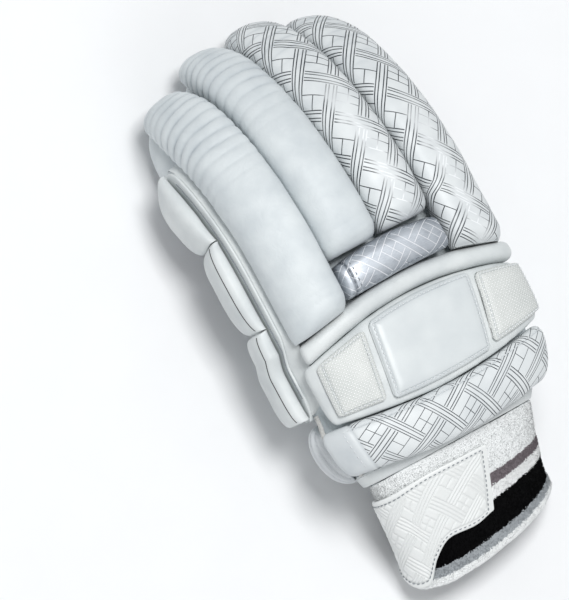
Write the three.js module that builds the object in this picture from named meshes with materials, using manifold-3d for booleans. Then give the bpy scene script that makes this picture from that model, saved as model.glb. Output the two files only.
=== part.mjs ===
// A left-hand cricket batting glove, lying palm down with its thumb folded under the palm.
// X runs across the hand towards the first finger, Y towards the fingertips and Z up. Millimetres and degrees.
// The hand, the four fingers, the thumb and the cuff are hollow; the padding lies on top of them.
import * as THREE from 'three';
import Module from 'manifold-3d';

const wasm = await Module();
wasm.setup();

// Driving sizes: the hand
const FINGER_PITCH = 29;
const FINGER_GAP = 0.6;
const CLEARANCE = 0.35;
const HAND_LENGTH = 108;
const HAND_LEVEL = 52;
const ARCH_RISE = 17;
const PALM_DEPTH = 18;
const LEATHER = 2;
const WRIST_LINE = -50;
const CROWN_POWER = 2.6;
const PALM_POWER = 3.6;

// Driving sizes: the fingers
const ROLL_HEIGHT = 24;
const SLEEVE_HEIGHT = 21;
const SLEEVE_WALL = 1.8;
const WRAP = 2.4;
const CAP_LENGTH = 31;
const BAND_LENGTH = 20;
const TIP_REACH = 10;
const BAND_PUFF = 3.4;
const CAP_PUFF = 4;
const RIB_PITCH = 5.2;
const RIB_DEPTH = 0.7;

// Driving sizes: the padding on the back of the hand
const BACK_PAD = 12;
const BACK_MARGIN = 3.5;
const PANEL = 3.2;
const PIPING_WIDTH = 9;
const PIPING_HEIGHT = 14;
const GUARD_WIDTH = 18.5;
const GUARD_HEIGHT = 21;
const WRIST_ROLL_WIDTH = 24;
const WRIST_ROLL_HEIGHT = 14;

// Driving sizes: the knit gusset at the heel
const GUSSET_HEM = 1.2;
const GUSSET_BULGE = 10;

// Driving sizes: the side bar on the little finger's edge
const FLANGE = 1.8;
const FLANGE_DROP = 10;
const FLANGE_RISE = 8.5;
const FLANGE_RAMP = 18;
const BAR_INSET = 0.5;
const BAR_EDGE = 1;
const SIDE_BAR = 9;
const SIDE_BAR_HEIGHT = 24;

// Driving sizes: the thumb
const THUMB_WIDTH = 30;
const THUMB_HEIGHT = 21;
const THUMB_PAD_WIDTH = 47;
const THUMB_PAD = 15;
const THUMB_LENGTH = 118;
const THUMB_START = -38;
const THUMB_SPLIT = 0.44;
const THUMB_TAPER = 0.86;
const THUMB_PRESS = 1;

// Driving sizes: the cuff and its strap
const CUFF_LENGTH = 44;
const CUFF_WIDTH = 88;
const CUFF_HEIGHT = 36;
const CUFF_WALL = 3;
const CUFF_DROP = 35;
const CUFF_TURN = 9;
const STRAP = 2.2;

const HAND_WIDTH = 4 * FINGER_PITCH - FINGER_GAP - 3 * CLEARANCE;
const CROTCH_LINE = WRIST_LINE + HAND_LENGTH;
const FULL_TURN = 2 * Math.PI;

// A rounded end keeps a small flat this deep, so that it never closes to a point.
const BLUNT = 0.5;

// The hand body's sections, from the wrist to the finger crotch. along is a share of HAND_LENGTH,
// half and shift are shares of half the hand's width, level of HAND_LEVEL, rise of ARCH_RISE and depth of PALM_DEPTH.
const HAND_SECTIONS = [
  { along: 0, half: 0.78, shift: -0.05, level: 0.93, rise: 1.0, depth: 1.0 },
  { along: 0.14, half: 0.9, shift: -0.02, level: 0.985, rise: 1.06, depth: 0.94 },
  { along: 0.35, half: 0.985, shift: 0, level: 1, rise: 1.06, depth: 0.74 },
  { along: 0.65, half: 1, shift: 0, level: 1, rise: 1, depth: 0.6 },
  { along: 1, half: 1, shift: 0, level: 1, rise: 1, depth: 0.6 },
];

// The fingers. place counts pitches from the middle of the hand, base and bend are shares of HAND_LENGTH
// from the wrist line: where the roll starts and where the finger starts to curl. slant is the rise of the
// roll's base along the hand, per step across it. curl is in degrees, and tip is the fingertip's height as a
// share of HAND_LEVEL.
const FINGERS = [
  { name: 'little', place: -1.5, base: 0.692, slant: 0.28, bend: 1.01, curl: 56, tip: 0.46, ribbed: true },
  { name: 'ring', place: -0.5, base: 0.925, slant: 0.04, bend: 1.045, curl: 61, tip: 0.36, ribbed: true },
  { name: 'middle', place: 0.5, base: 0.925, slant: -0.04, bend: 1.045, curl: 66, tip: 0.25, ribbed: false },
  { name: 'index', place: 1.5, base: 0.69, slant: -0.3, bend: 1.02, curl: 66, tip: 0.26, ribbed: false },
];

// Value of a column at a place along a table, on a smooth curve through the rows.
function column(rows, key, name, at) {
  const last = rows.length - 1;
  let i = rows.findIndex((row) => row[key] > at) - 1;
  if (i < 0) i = at < rows[0][key] ? 0 : last - 1;
  const slope = (k) => {
    const a = rows[Math.max(k - 1, 0)];
    const b = rows[Math.min(k + 1, last)];
    return (b[name] - a[name]) / (b[key] - a[key]);
  };
  const step = rows[i + 1][key] - rows[i][key];
  const t = THREE.MathUtils.clamp((at - rows[i][key]) / step, 0, 1);
  const [p, q] = [rows[i][name], rows[i + 1][name]];
  return (
    p * (1 + 2 * t) * (1 - t) ** 2 +
    q * (3 - 2 * t) * t ** 2 +
    step * (slope(i) * t * (1 - t) ** 2 - slope(i + 1) * t ** 2 * (1 - t))
  );
}

// Evenly spaced values from one end to the other, both ends included.
function steps(from, to, count) {
  return Array.from({ length: count + 1 }, (_, i) => from + ((to - from) * i) / count);
}

// A signed power, which squares off a circle's sine and cosine.
function squared(value, power) {
  return Math.sign(value) * Math.abs(value) ** (2 / power);
}

// Height of a rounded end: 0 at the end itself, 1 from reach inwards.
function rounded(distance, reach) {
  const t = THREE.MathUtils.clamp(distance / reach, 0, 1);
  return Math.sqrt(1 - (1 - t) ** 2);
}

// Closed body from a row of rings with equally many points, with both ends closed by a fan.
function loft(rings) {
  const sides = rings[0].length;
  const points = rings.flat();
  const index = [];
  for (let r = 0; r + 1 < rings.length; r++) {
    for (let k = 0; k < sides; k++) {
      const a = r * sides + k;
      const b = r * sides + ((k + 1) % sides);
      index.push(a, b, b + sides, a, b + sides, a + sides);
    }
  }
  for (const [ring, first, flip] of [[rings[0], 0, true], [rings.at(-1), (rings.length - 1) * sides, false]]) {
    const centre = ring.reduce((sum, p) => sum.add(p), new THREE.Vector3()).divideScalar(sides);
    points.push(centre);
    for (let k = 0; k < sides; k++) {
      const [a, b] = [first + k, first + ((k + 1) % sides)];
      index.push(points.length - 1, flip ? b : a, flip ? a : b);
    }
  }
  return closedBody(points, index);
}

// Closed body between two sheets over the same grid: point(u, v, side) gives the sheets' points,
// with side 0 underneath and side 1 on top.
function quilt(us, vs, point) {
  const rows = us.length;
  const columns = vs.length;
  const at = (i, j, side) => side * rows * columns + i * columns + j;
  const points = [0, 1].flatMap((side) => us.flatMap((u) => vs.map((v) => point(u, v, side))));
  const index = [];
  const quad = (a, b, c, d) => index.push(a, b, c, a, c, d);
  for (let i = 0; i + 1 < rows; i++) {
    for (let j = 0; j + 1 < columns; j++) {
      quad(at(i, j, 1), at(i + 1, j, 1), at(i + 1, j + 1, 1), at(i, j + 1, 1));
      quad(at(i, j, 0), at(i, j + 1, 0), at(i + 1, j + 1, 0), at(i + 1, j, 0));
    }
  }
  for (let i = 0; i + 1 < rows; i++) {
    quad(at(i, 0, 0), at(i + 1, 0, 0), at(i + 1, 0, 1), at(i, 0, 1));
    quad(at(i, columns - 1, 1), at(i + 1, columns - 1, 1), at(i + 1, columns - 1, 0), at(i, columns - 1, 0));
  }
  for (let j = 0; j + 1 < columns; j++) {
    quad(at(0, j, 1), at(0, j + 1, 1), at(0, j + 1, 0), at(0, j, 0));
    quad(at(rows - 1, j, 0), at(rows - 1, j + 1, 0), at(rows - 1, j + 1, 1), at(rows - 1, j, 1));
  }
  return closedBody(points, index);
}

// A manifold solid from points and triangles, turned the right way out.
function closedBody(points, index) {
  const vertProperties = new Float32Array(points.flatMap((p) => p.toArray()));
  const make = (triVerts) => new wasm.Manifold(new wasm.Mesh({ numProp: 3, vertProperties, triVerts }));
  const solid = make(new Uint32Array(index));
  if (solid.volume() > 0) return solid;
  return make(new Uint32Array(index).reverse());
}

// The solid as geometry.
function geometryOf(solid) {
  const mesh = solid.getMesh();
  const geometry = new THREE.BufferGeometry();
  geometry.setAttribute('position', new THREE.BufferAttribute(mesh.vertProperties.slice(), 3));
  geometry.setIndex(new THREE.BufferAttribute(mesh.triVerts.slice(), 1));
  geometry.computeVertexNormals();
  return geometry;
}

// A box as a manifold solid, given by two corners.
function block(low, high) {
  const geometry = new THREE.BoxGeometry(high.x - low.x, high.y - low.y, high.z - low.z).toNonIndexed();
  geometry.translate((low.x + high.x) / 2, (low.y + high.y) / 2, (low.z + high.z) / 2);
  const position = geometry.attributes.position;
  const points = [];
  const index = [];
  for (let i = 0; i < position.count; i++) {
    const p = new THREE.Vector3().fromBufferAttribute(position, i);
    const found = points.findIndex((q) => q.distanceTo(p) < 1e-6);
    index.push(found < 0 ? points.push(p) - 1 : found);
  }
  return closedBody(points, index);
}

// Everything below the floor, which flattens what rests on it.
const REACH = 4 * HAND_LENGTH;
const belowFloor = block(new THREE.Vector3(-REACH, -REACH, -REACH), new THREE.Vector3(REACH, REACH, 0));

// The hand body's section at a place along the hand, grown by an offset.
function handSection(y, grow = 0) {
  const at = (y - WRIST_LINE) / HAND_LENGTH;
  const half = HAND_WIDTH / 2;
  return {
    centre: column(HAND_SECTIONS, 'along', 'shift', at) * half,
    half: column(HAND_SECTIONS, 'along', 'half', at) * half + grow,
    level: column(HAND_SECTIONS, 'along', 'level', at) * HAND_LEVEL,
    rise: column(HAND_SECTIONS, 'along', 'rise', at) * ARCH_RISE + grow,
    depth: column(HAND_SECTIONS, 'along', 'depth', at) * PALM_DEPTH + grow,
  };
}

// Point on the hand body at an angle, 0 on the first finger's edge and 180 on the little finger's, over the back.
// lift carries it out along the surface's normal.
function handPoint(y, angle, lift = 0, grow = 0) {
  const s = handSection(y, grow);
  const [c, n] = [Math.cos(angle), Math.sin(angle)];
  const power = n >= 0 ? CROWN_POWER : PALM_POWER;
  const height = n >= 0 ? s.rise : s.depth;
  const normal = new THREE.Vector3(
    squared(c, power / (power - 1)) / s.half,
    0,
    squared(n, power / (power - 1)) / height,
  ).normalize();
  const point = new THREE.Vector3(s.centre + s.half * squared(c, power), y, s.level + height * squared(n, power));
  return point.addScaledVector(normal, lift);
}

// Angle at which the crown of the hand body is a given distance from its middle.
function crownAngle(y, x) {
  const s = handSection(y);
  const share = THREE.MathUtils.clamp((x - s.centre) / s.half, -0.995, 0.995);
  return Math.acos(Math.sign(share) * Math.abs(share) ** (CROWN_POWER / 2));
}

const HAND_SIDES = 32;
const WRIST_TO_CROTCH = steps(0, 1, 6);

// The hand body as a closed loft, running past its ends by an overrun and grown by an offset.
function handLoft(grow, overrun) {
  const rings = WRIST_TO_CROTCH.map((share) => {
    const y = WRIST_LINE + share * HAND_LENGTH;
    const end = share === 0 ? -overrun.wrist : share === 1 ? overrun.crotch : 0;
    return steps(0, FULL_TURN, HAND_SIDES)
      .slice(0, -1)
      .map((angle) => handPoint(y, angle, 0, grow).add(new THREE.Vector3(0, end, 0)));
  });
  return loft(rings);
}

// A finger's own frame. The seam line between its roll and its sleeve runs straight, then curls down.
function fingerOf(row) {
  const x = row.place * FINGER_PITCH;
  const s = handSection(CROTCH_LINE);
  const crown = (at) => s.level + s.rise * (1 - Math.abs((at - s.centre) / s.half) ** CROWN_POWER) ** (1 / CROWN_POWER);
  const bend = WRIST_LINE + row.bend * HAND_LENGTH;
  const base = WRIST_LINE + row.base * HAND_LENGTH;
  const height = crown(x) + CLEARANCE + WRAP / 4;
  const curl = THREE.MathUtils.degToRad(row.curl);
  const radius = (height - row.tip * HAND_LEVEL) / (1 - Math.cos(curl));
  return {
    ...row,
    x,
    height,
    curl,
    radius,
    bank: crown(x + 1) - crown(x),
    start: base - bend,
    crotch: CROTCH_LINE - bend,
    end: radius * curl,
  };
}

// Point beside a finger's seam line: along it, across it and out from it. Straight before 0 and after the curl.
function fingerPoint(finger, along, across, out) {
  const turn = THREE.MathUtils.clamp(along / finger.radius, 0, finger.curl);
  const past = along - turn * finger.radius;
  const [c, s] = [Math.cos(turn), Math.sin(turn)];
  const lift = out + finger.bank * across;
  return new THREE.Vector3(
    finger.x + across,
    CROTCH_LINE - finger.crotch + finger.radius * s + past * c + lift * s,
    finger.height - finger.radius * (1 - c) - past * s + lift * c,
  );
}

// Ring round a finger's section: half its width, its top and its foot as heights above the seam line.
// slant sets its first-finger side further along than its other side.
function fingerRing(finger, along, { half, top, foot, slant = 0 }, sides, power) {
  const middle = (top + foot) / 2;
  return steps(0, FULL_TURN, sides)
    .slice(0, -1)
    .map((angle) => {
      const across = half * squared(Math.cos(angle), power);
      const out = middle + ((top - foot) / 2) * squared(Math.sin(angle), power);
      return fingerPoint(finger, along + slant * across, across, out);
    });
}

// The half width that every finger piece keeps inside, so that neighbours never meet.
const FINGER_HALF = (FINGER_PITCH - FINGER_GAP) / 2;
const SLEEVE_HALF = FINGER_HALF - WRAP - CLEARANCE;
const ROLL_SIDES = 12;
const ROLL_POWER = 2.5;
const BASE_ROUND = 9;
const TIP_ROUND = 46;
const SLEEVE_SIDES = 10;
const SLEEVE_POWER = 2.8;

// The padded roll on a finger's back. Its foot is flat on the seam line, and its ends are rounded.
function fingerRoll(finger) {
  const tip = finger.end + TIP_REACH;
  const ribs = steps(tip - 7 * RIB_PITCH, tip - 2 * RIB_PITCH, finger.ribbed ? 10 : 3);
  const baseEnd = [0, 0.12, 0.4, 1].map((share) => finger.start + share * BASE_ROUND);
  const straight = baseEnd.at(-1) < -BASE_ROUND ? [0] : [];
  const curl = steps(Math.max(baseEnd.at(-1), 0), ribs[0], 6).slice(1, -1);
  const tipEnd = [0.7, 0.35, 0.12, 0].map((share) => tip - share * RIB_PITCH);
  const rings = [...baseEnd, ...straight, ...curl, ...ribs, ...tipEnd].map((along) => {
    const base = rounded(along - finger.start + BLUNT, BASE_ROUND);
    const end = rounded(tip - along + BLUNT, TIP_ROUND);
    const rib = finger.ribbed && ribs.includes(along) && ribs.indexOf(along) % 2 ? RIB_DEPTH : 0;
    const half = FINGER_HALF * (0.72 + 0.28 * base) * (0.34 + 0.66 * end) - rib / 3;
    const top = ROLL_HEIGHT * (0.45 + 0.55 * base) * (0.12 + 0.88 * end) - rib;
    const slant = finger.slant * THREE.MathUtils.clamp(-along / BASE_ROUND, 0, 1);
    return fingerRing(finger, along, { half, top, foot: CLEARANCE / 2, slant }, ROLL_SIDES, ROLL_POWER);
  });
  return loft(rings);
}

// The hollow tube that a finger goes into, or that tube grown by an offset.
function fingerTube(finger, grow, from, tipGap) {
  const tip = finger.end - tipGap + grow;
  const foot = -SLEEVE_HEIGHT - CLEARANCE / 2;
  const round = SLEEVE_HEIGHT * 0.6;
  const stations = [from, ...steps(0, tip - round, 5), tip - round * 0.4, tip - round * 0.1, tip];
  const rings = stations.map((along) => {
    const end = rounded(tip - along + BLUNT, round);
    const middle = (foot - CLEARANCE / 2) / 2;
    const deep = (SLEEVE_HEIGHT / 2 + grow) * (0.2 + 0.8 * end);
    const half = (SLEEVE_HALF + grow) * (0.2 + 0.8 * end);
    const section = { half, top: middle + deep, foot: middle - deep };
    return fingerRing(finger, along, section, SLEEVE_SIDES, SLEEVE_POWER);
  });
  return loft(rings);
}

function fingerSleeve(finger) {
  const outer = fingerTube(finger, 0, finger.crotch + CLEARANCE, WRAP);
  const inner = fingerTube(finger, -SLEEVE_WALL, finger.crotch - LEATHER, WRAP);
  return outer.subtract(inner);
}

// The leather band round the palm side of a finger, open at the top where the roll lies.
function fingerBand(finger) {
  const to = finger.end + TIP_REACH - CAP_LENGTH - CLEARANCE;
  const stations = steps(to - BAND_LENGTH, to, 4);
  const rings = stations.map((along, k) => {
    const puff = 0.55 + 0.45 * Math.sin((Math.PI * k) / (stations.length - 1));
    const foot = -SLEEVE_HEIGHT - CLEARANCE - BAND_PUFF * puff;
    const half = SLEEVE_HALF + CLEARANCE + WRAP * puff;
    return fingerRing(finger, along, { half, top: 0, foot }, SLEEVE_SIDES, SLEEVE_POWER);
  });
  return openTop(loft(rings), finger);
}

// The padded cap over the fingertip, which continues the roll round to the palm side.
function fingertipCap(finger) {
  const tip = finger.end + TIP_REACH;
  const from = tip - CAP_LENGTH;
  const rings = [0, 0.3, 0.6, 0.8, 0.94, 1].map((share) => {
    const along = from + share * CAP_LENGTH;
    const end = rounded(tip - along + BLUNT, CAP_LENGTH * 0.75);
    const neck = 0.93 + 0.07 * rounded(along - from, CAP_LENGTH * 0.3);
    const foot = -(SLEEVE_HEIGHT + CLEARANCE + CAP_PUFF) * neck * (0.2 + 0.8 * end);
    const half = FINGER_HALF * neck * (0.34 + 0.66 * rounded(tip - along + BLUNT, TIP_ROUND));
    return fingerRing(finger, along, { half, top: 0, foot }, SLEEVE_SIDES, SLEEVE_POWER);
  });
  return openTop(loft(rings), finger).subtract(belowFloor);
}

// Takes the finger's sleeve and the room of its roll out of a piece that wraps the sleeve.
function openTop(solid, finger) {
  const sleeve = fingerTube(finger, CLEARANCE, finger.crotch, WRAP);
  const from = finger.crotch;
  const lid = loft(
    steps(from, finger.end + 3 * TIP_REACH, 12).map((along) =>
      [[-1, 0], [1, 0], [1, 1], [-1, 1]].map(([side, up]) =>
        fingerPoint(finger, along, side * FINGER_PITCH, -CLEARANCE + up * ROLL_HEIGHT * 1.5),
      ),
    ),
  );
  return solid.subtract(sleeve).subtract(lid);
}

// Plan lines over the back of the hand, as places along Y at a distance across the hand.
const KNUCKLE_LINE = 0.738;
const PIPING_SAG = 0.105;
const GUARD_SAG = 0.03;
const WRIST_ROLL_LINE = 0.232;
const WRIST_ROLL_SAG = 0.07;

function planLine(share, sag) {
  return (x) => WRIST_LINE + HAND_LENGTH * (share - sag * (x / (HAND_WIDTH / 2)) ** 2);
}

const pipingTop = planLine(KNUCKLE_LINE, PIPING_SAG);
const guardFoot = planLine(KNUCKLE_LINE + 0.008, GUARD_SAG);
const wristRollTop = planLine(WRIST_ROLL_LINE, -WRIST_ROLL_SAG);

// Angles over the crown between two distances from the middle, in steps shared with the hand body.
function crownAngles(y, from, to) {
  const [a, b] = [crownAngle(y, from), crownAngle(y, to)];
  const low = Math.min(a, b);
  const high = Math.max(a, b);
  const step = FULL_TURN / HAND_SIDES;
  const inner = steps(0, Math.PI, HAND_SIDES / 2).filter((at) => at > low + step / 3 && at < high - step / 3);
  return [low, ...inner, high];
}

// A piece on the back of the hand, between two plan lines. thick(across, along) is its thickness, with both
// places as shares from 0 to 1, and lift is the height of its foot above the hand body.
function backPiece({ from, to, foot, head, lift, thick, rows }) {
  const middle = (foot(0) + head(0)) / 2;
  const angles = crownAngles(middle, from, to);
  return quilt(angles, rows, (angle, v, side) => {
    const x = handPoint(middle, angle).x;
    const y = foot(x) + (head(x) - foot(x)) * v;
    const u = (angle - angles[0]) / (angles.at(-1) - angles[0]);
    return handPoint(y, angle, lift(u) + side * thick(u, v));
  });
}

// Thickness profile across a bar: full in the middle, round at both edges.
function barRound(share, power) {
  return (1 - Math.abs(2 * share - 1) ** power) ** (1 / power);
}

const BAR_ROWS = [0, 0.08, 0.28, 0.5, 0.72, 0.92, 1];

function knucklePiping() {
  return backPiece({
    from: -0.86 * (HAND_WIDTH / 2),
    to: 0.93 * (HAND_WIDTH / 2),
    foot: (x) => pipingTop(x) - PIPING_WIDTH,
    head: pipingTop,
    lift: () => CLEARANCE,
    thick: (u, v) => PIPING_HEIGHT * (0.45 + 0.55 * barRound(v, 2.2)) * (0.75 + 0.25 * barRound(u, 6)),
    rows: BAR_ROWS,
  });
}

function knuckleGuard() {
  const end = FINGER_PITCH - FINGER_GAP - 4 * CLEARANCE;
  const over = CLEARANCE + WRAP / 2;
  return backPiece({
    from: -end,
    to: end,
    foot: guardFoot,
    head: (x) => guardFoot(x) + GUARD_WIDTH,
    lift: () => over,
    thick: (u, v) => GUARD_HEIGHT * (0.3 + 0.7 * barRound(v, 2.4)) * (0.7 + 0.3 * barRound(u, 4)),
    rows: BAR_ROWS,
  });
}

const backFoot = (x) => wristRollTop(x) + CLEARANCE;
const backHead = (x) => pipingTop(x) - PIPING_WIDTH - CLEARANCE;
const BACK_EDGE = HAND_WIDTH / 2 - BACK_MARGIN;

// How thick the back pad is at a share across the hand: thinner where it wraps over the edges.
function backThickness(u) {
  return BACK_PAD * (0.58 + 0.42 * barRound(u, 3));
}

function backPad() {
  return backPiece({
    from: -BACK_EDGE,
    to: BACK_EDGE,
    foot: backFoot,
    head: backHead,
    lift: () => CLEARANCE,
    thick: (u, v) => backThickness(u) * (0.8 + 0.2 * barRound(v, 4)),
    rows: [0, 0.06, 0.2, 0.5, 0.8, 0.94, 1],
  });
}

// The raised panels on the back pad. from and to are shares of half the hand's width at the foot, lean is
// how far the head is moved across, and foot and head are shares of the pad's length.
const PANELS = [
  { name: 'side_panel_little', from: -0.86, to: -0.575, leanFrom: 0.01, leanTo: 0.1, foot: 0.1, head: 0.93 },
  { name: 'centre_panel', from: -0.51, to: 0.4, leanFrom: 0.1, leanTo: 0.12, foot: 0.07, head: 0.96 },
  { name: 'side_panel_index', from: 0.445, to: 0.93, leanFrom: 0.12, leanTo: 0, foot: 0.1, head: 0.93 },
];

function raisedPanel(row) {
  const middle = (backFoot(0) + backHead(0)) / 2;
  const half = HAND_WIDTH / 2;
  const edge = BACK_EDGE;
  const angle = (x) => crownAngle(middle, THREE.MathUtils.clamp(x, -edge, edge));
  const [low, high] = [angle(edge), angle(-edge)];
  const us = steps(0, 1, 8);
  const vs = [0, 0.1, 0.3, 0.5, 0.7, 0.9, 1];
  return quilt(us, vs, (u, v, side) => {
    const left = half * (row.from + row.leanFrom * v);
    const right = half * (row.to + row.leanTo * v);
    const x = left + (right - left) * u;
    const at = angle(x);
    const share = row.foot + (row.head - row.foot) * v;
    const y = backFoot(x) + (backHead(x) - backFoot(x)) * share;
    const across = (at - low) / (high - low);
    const lift = 2.6 * CLEARANCE + backThickness(across) * (0.8 + 0.2 * barRound(share, 4));
    const puff = 0.25 + 0.75 * Math.min(rounded(Math.min(u, 1 - u), 0.16), rounded(Math.min(v, 1 - v), 0.14));
    return handPoint(y, at, lift + side * PANEL * puff);
  });
}

function wristRoll() {
  return backPiece({
    from: -0.88 * (HAND_WIDTH / 2),
    to: 0.79 * (HAND_WIDTH / 2),
    foot: (x) => wristRollTop(x) - WRIST_ROLL_WIDTH,
    head: wristRollTop,
    lift: () => CLEARANCE,
    thick: (u, v) => WRIST_ROLL_HEIGHT * (0.5 + 0.5 * barRound(v, 3)) * (0.62 + 0.38 * barRound(u, 5)),
    rows: BAR_ROWS,
  });
}

// The ribbed knit bulge at the heel of the hand, on the little finger's edge.
function heelGusset() {
  const from = WRIST_LINE + 0.04 * HAND_LENGTH;
  const to = WRIST_LINE + 0.33 * HAND_LENGTH;
  const facet = FULL_TURN / HAND_SIDES;
  const count = 5;
  const angles = steps(Math.PI, Math.PI + count * facet, count);
  return quilt(angles, steps(0, 1, 6), (angle, v, side) => {
    const u = (angle - angles[0]) / (angles.at(-1) - angles[0]);
    const puff = GUSSET_HEM + GUSSET_BULGE * barRound(u, 2.2) * barRound(v, 2.2);
    return handPoint(from + (to - from) * v, angle, CLEARANCE + side * puff);
  });
}

const littleFinger = fingerOf(FINGERS[0]);
const FLANGE_FROM = WRIST_LINE + 0.36 * HAND_LENGTH - (CROTCH_LINE - littleFinger.crotch);
const FLANGE_TO = littleFinger.end * 0.78;

// Point on the outer side of the little finger's edge: along the seam line, out from it, and away from the hand.
function edgePoint(along, out, away) {
  const across = -FINGER_HALF - CLEARANCE - away;
  return fingerPoint({ ...littleFinger, bank: 0 }, along, across, out);
}

// Top of the flange below the seam line: it stays under the back pad, and rises beside the roll.
function flangeTop(along) {
  const beside = littleFinger.start + FLANGE_RAMP / 3;
  return -FLANGE_DROP + FLANGE_RISE * THREE.MathUtils.smoothstep(along, beside - FLANGE_RAMP, beside);
}

// Top of the side bar, which is sewn on below the middle of the flange's rise.
function barTop(along) {
  return Math.min(flangeTop(along), -FLANGE_DROP / 2);
}

// The flat leather flange that the side bar is sewn to.
function sideFlange() {
  const stations = steps(FLANGE_FROM, FLANGE_TO, 12);
  return quilt(stations, [0, 1], (along, v, side) => {
    const foot = BAR_EDGE - FLANGE_DROP / 2 - SIDE_BAR_HEIGHT * 0.9;
    return edgePoint(along, flangeTop(along) + (foot - flangeTop(along)) * v, side * FLANGE);
  });
}

// The side bar's padded lengths, as shares of the flange's length. full is the share of SIDE_BAR_HEIGHT.
const SIDE_BARS = [
  { name: 'side_bar_heel', from: 0.01, to: 0.325, full: 0.86, square: 4 },
  { name: 'side_bar_middle', from: 0.33, to: 0.66, full: 0.9, square: 2.4 },
  { name: 'side_bar_tip', from: 0.665, to: 0.985, full: 0.94, square: 2 },
];

function sideBar(row) {
  const length = FLANGE_TO - FLANGE_FROM;
  const from = FLANGE_FROM + row.from * length;
  const to = FLANGE_FROM + row.to * length;
  return quilt([0, 0.08, 0.25, 0.5, 0.75, 0.92, 1], BAR_ROWS, (u, v, side) => {
    const along = from + (to - from) * u;
    const end = 0.35 + 0.65 * barRound(u, row.square * 1.6);
    const top = barTop(along) - BAR_INSET;
    const foot = top - (SIDE_BAR_HEIGHT * row.full - 2 * BAR_EDGE) * end;
    const puff = BAR_EDGE + (SIDE_BAR - BAR_EDGE) * (0.5 + 0.5 * barRound(u, row.square)) * barRound(v, 2.1);
    return edgePoint(along, top + (foot - top) * v, FLANGE + CLEARANCE + side * puff);
  });
}

// The thumb's middle line, from inside the heel of the hand to the tip. along is a share of THUMB_LENGTH,
// across a share of half the hand's width, and up a share of the thumb's own height above its pad.
const THUMB_LINE = [
  { along: 0.1, across: 0.44, up: 1.32 },
  { along: 0.24, across: 0.5, up: 0.72 },
  { along: 0.44, across: 0.56, up: 0.5 },
  { along: 0.72, across: 0.61, up: 0.5 },
  { along: 0.97, across: 0.64, up: 0.5 },
];
const THUMB_SIDES = 12;

// The thumb's tube, grown by an offset and started further in by a lead.
function thumbTube(grow, lead) {
  const top = THUMB_PAD + CLEARANCE;
  const centres = THUMB_LINE.map(
    (row) =>
      new THREE.Vector3(
        (row.across * HAND_WIDTH) / 2,
        THUMB_START + row.along * THUMB_LENGTH,
        top + row.up * THUMB_HEIGHT,
      ),
  );
  const curve = new THREE.CatmullRomCurve3(centres, false, 'centripetal');
  const rings = [0, 0.14, 0.28, 0.45, 0.65, 0.84, 0.93, 0.98, 1].map((t) => {
    const centre = curve.getPointAt(t);
    const tangent = curve.getTangentAt(t);
    const across = new THREE.Vector3(tangent.y, -tangent.x, 0).normalize();
    const up = new THREE.Vector3().crossVectors(across, tangent).normalize();
    const end = rounded(1 - t + 0.006, 0.16);
    const taper = THUMB_TAPER + (1 - THUMB_TAPER) * (1 - t);
    const half = ((THUMB_WIDTH / 2) * taper + grow) * (0.25 + 0.75 * end);
    const deep = (THUMB_HEIGHT / 2 + grow) * (0.25 + 0.75 * end);
    const back = tangent.clone().multiplyScalar(t === 0 ? -lead : t === 1 ? grow : 0);
    return steps(0, FULL_TURN, THUMB_SIDES)
      .slice(0, -1)
      .map((angle) =>
        centre
          .clone()
          .add(back)
          .addScaledVector(across, half * squared(Math.cos(angle), SLEEVE_POWER))
          .addScaledVector(up, deep * squared(Math.sin(angle), SLEEVE_POWER)),
      );
  });
  return loft(rings);
}

function thumbSleeve() {
  const room = handLoft(CLEARANCE, { wrist: CUFF_LENGTH, crotch: 0 });
  return thumbTube(0, 0).subtract(thumbTube(-LEATHER, LEATHER)).subtract(room);
}

// The thumb pad's plan. along is a share of THUMB_LENGTH, half of half the pad's width, middle of half the hand's width.
const THUMB_PLAN = [
  { along: 0, half: 0.72, middle: 0.5 },
  { along: 0.08, half: 0.92, middle: 0.52 },
  { along: 0.4, half: 1, middle: 0.57 },
  { along: 0.75, half: 0.98, middle: 0.61 },
  { along: 0.9, half: 0.8, middle: 0.63 },
  { along: 1, half: 0.32, middle: 0.64 },
];

// One of the thumb's two pads, which bulge down to the floor and are flattened by it.
function thumbPad(from, to) {
  return quilt(steps(0, 1, 8), BAR_ROWS, (u, v, side) => {
    const along = from + (to - from) * u;
    const half = (column(THUMB_PLAN, 'along', 'half', along) * THUMB_PAD_WIDTH) / 2;
    const middle = (column(THUMB_PLAN, 'along', 'middle', along) * HAND_WIDTH) / 2;
    const puff = (THUMB_PAD + THUMB_PRESS) * (0.35 + 0.65 * barRound(u, 4)) * (0.3 + 0.7 * barRound(v, 2.6));
    return new THREE.Vector3(middle + half * (1 - 2 * v), THUMB_START + along * THUMB_LENGTH, THUMB_PAD - side * puff);
  }).subtract(belowFloor);
}

const CUFF_SIDES = 24;
const CUFF_POWER = 2.3;
const CUFF_END = new THREE.Vector3(
  CUFF_LENGTH * Math.tan(THREE.MathUtils.degToRad(CUFF_TURN)),
  -CUFF_LENGTH,
  -CUFF_DROP,
);

// Shape of the cuff along its length: shares of its half width and of its half height.
const CUFF_SECTIONS = [
  { along: 0, half: 1, high: 0.98 },
  { along: 0.45, half: 0.95, high: 0.96 },
  { along: 0.85, half: 0.94, high: 0.97 },
  { along: 1, half: 0.97, high: 1.02 },
];

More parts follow.
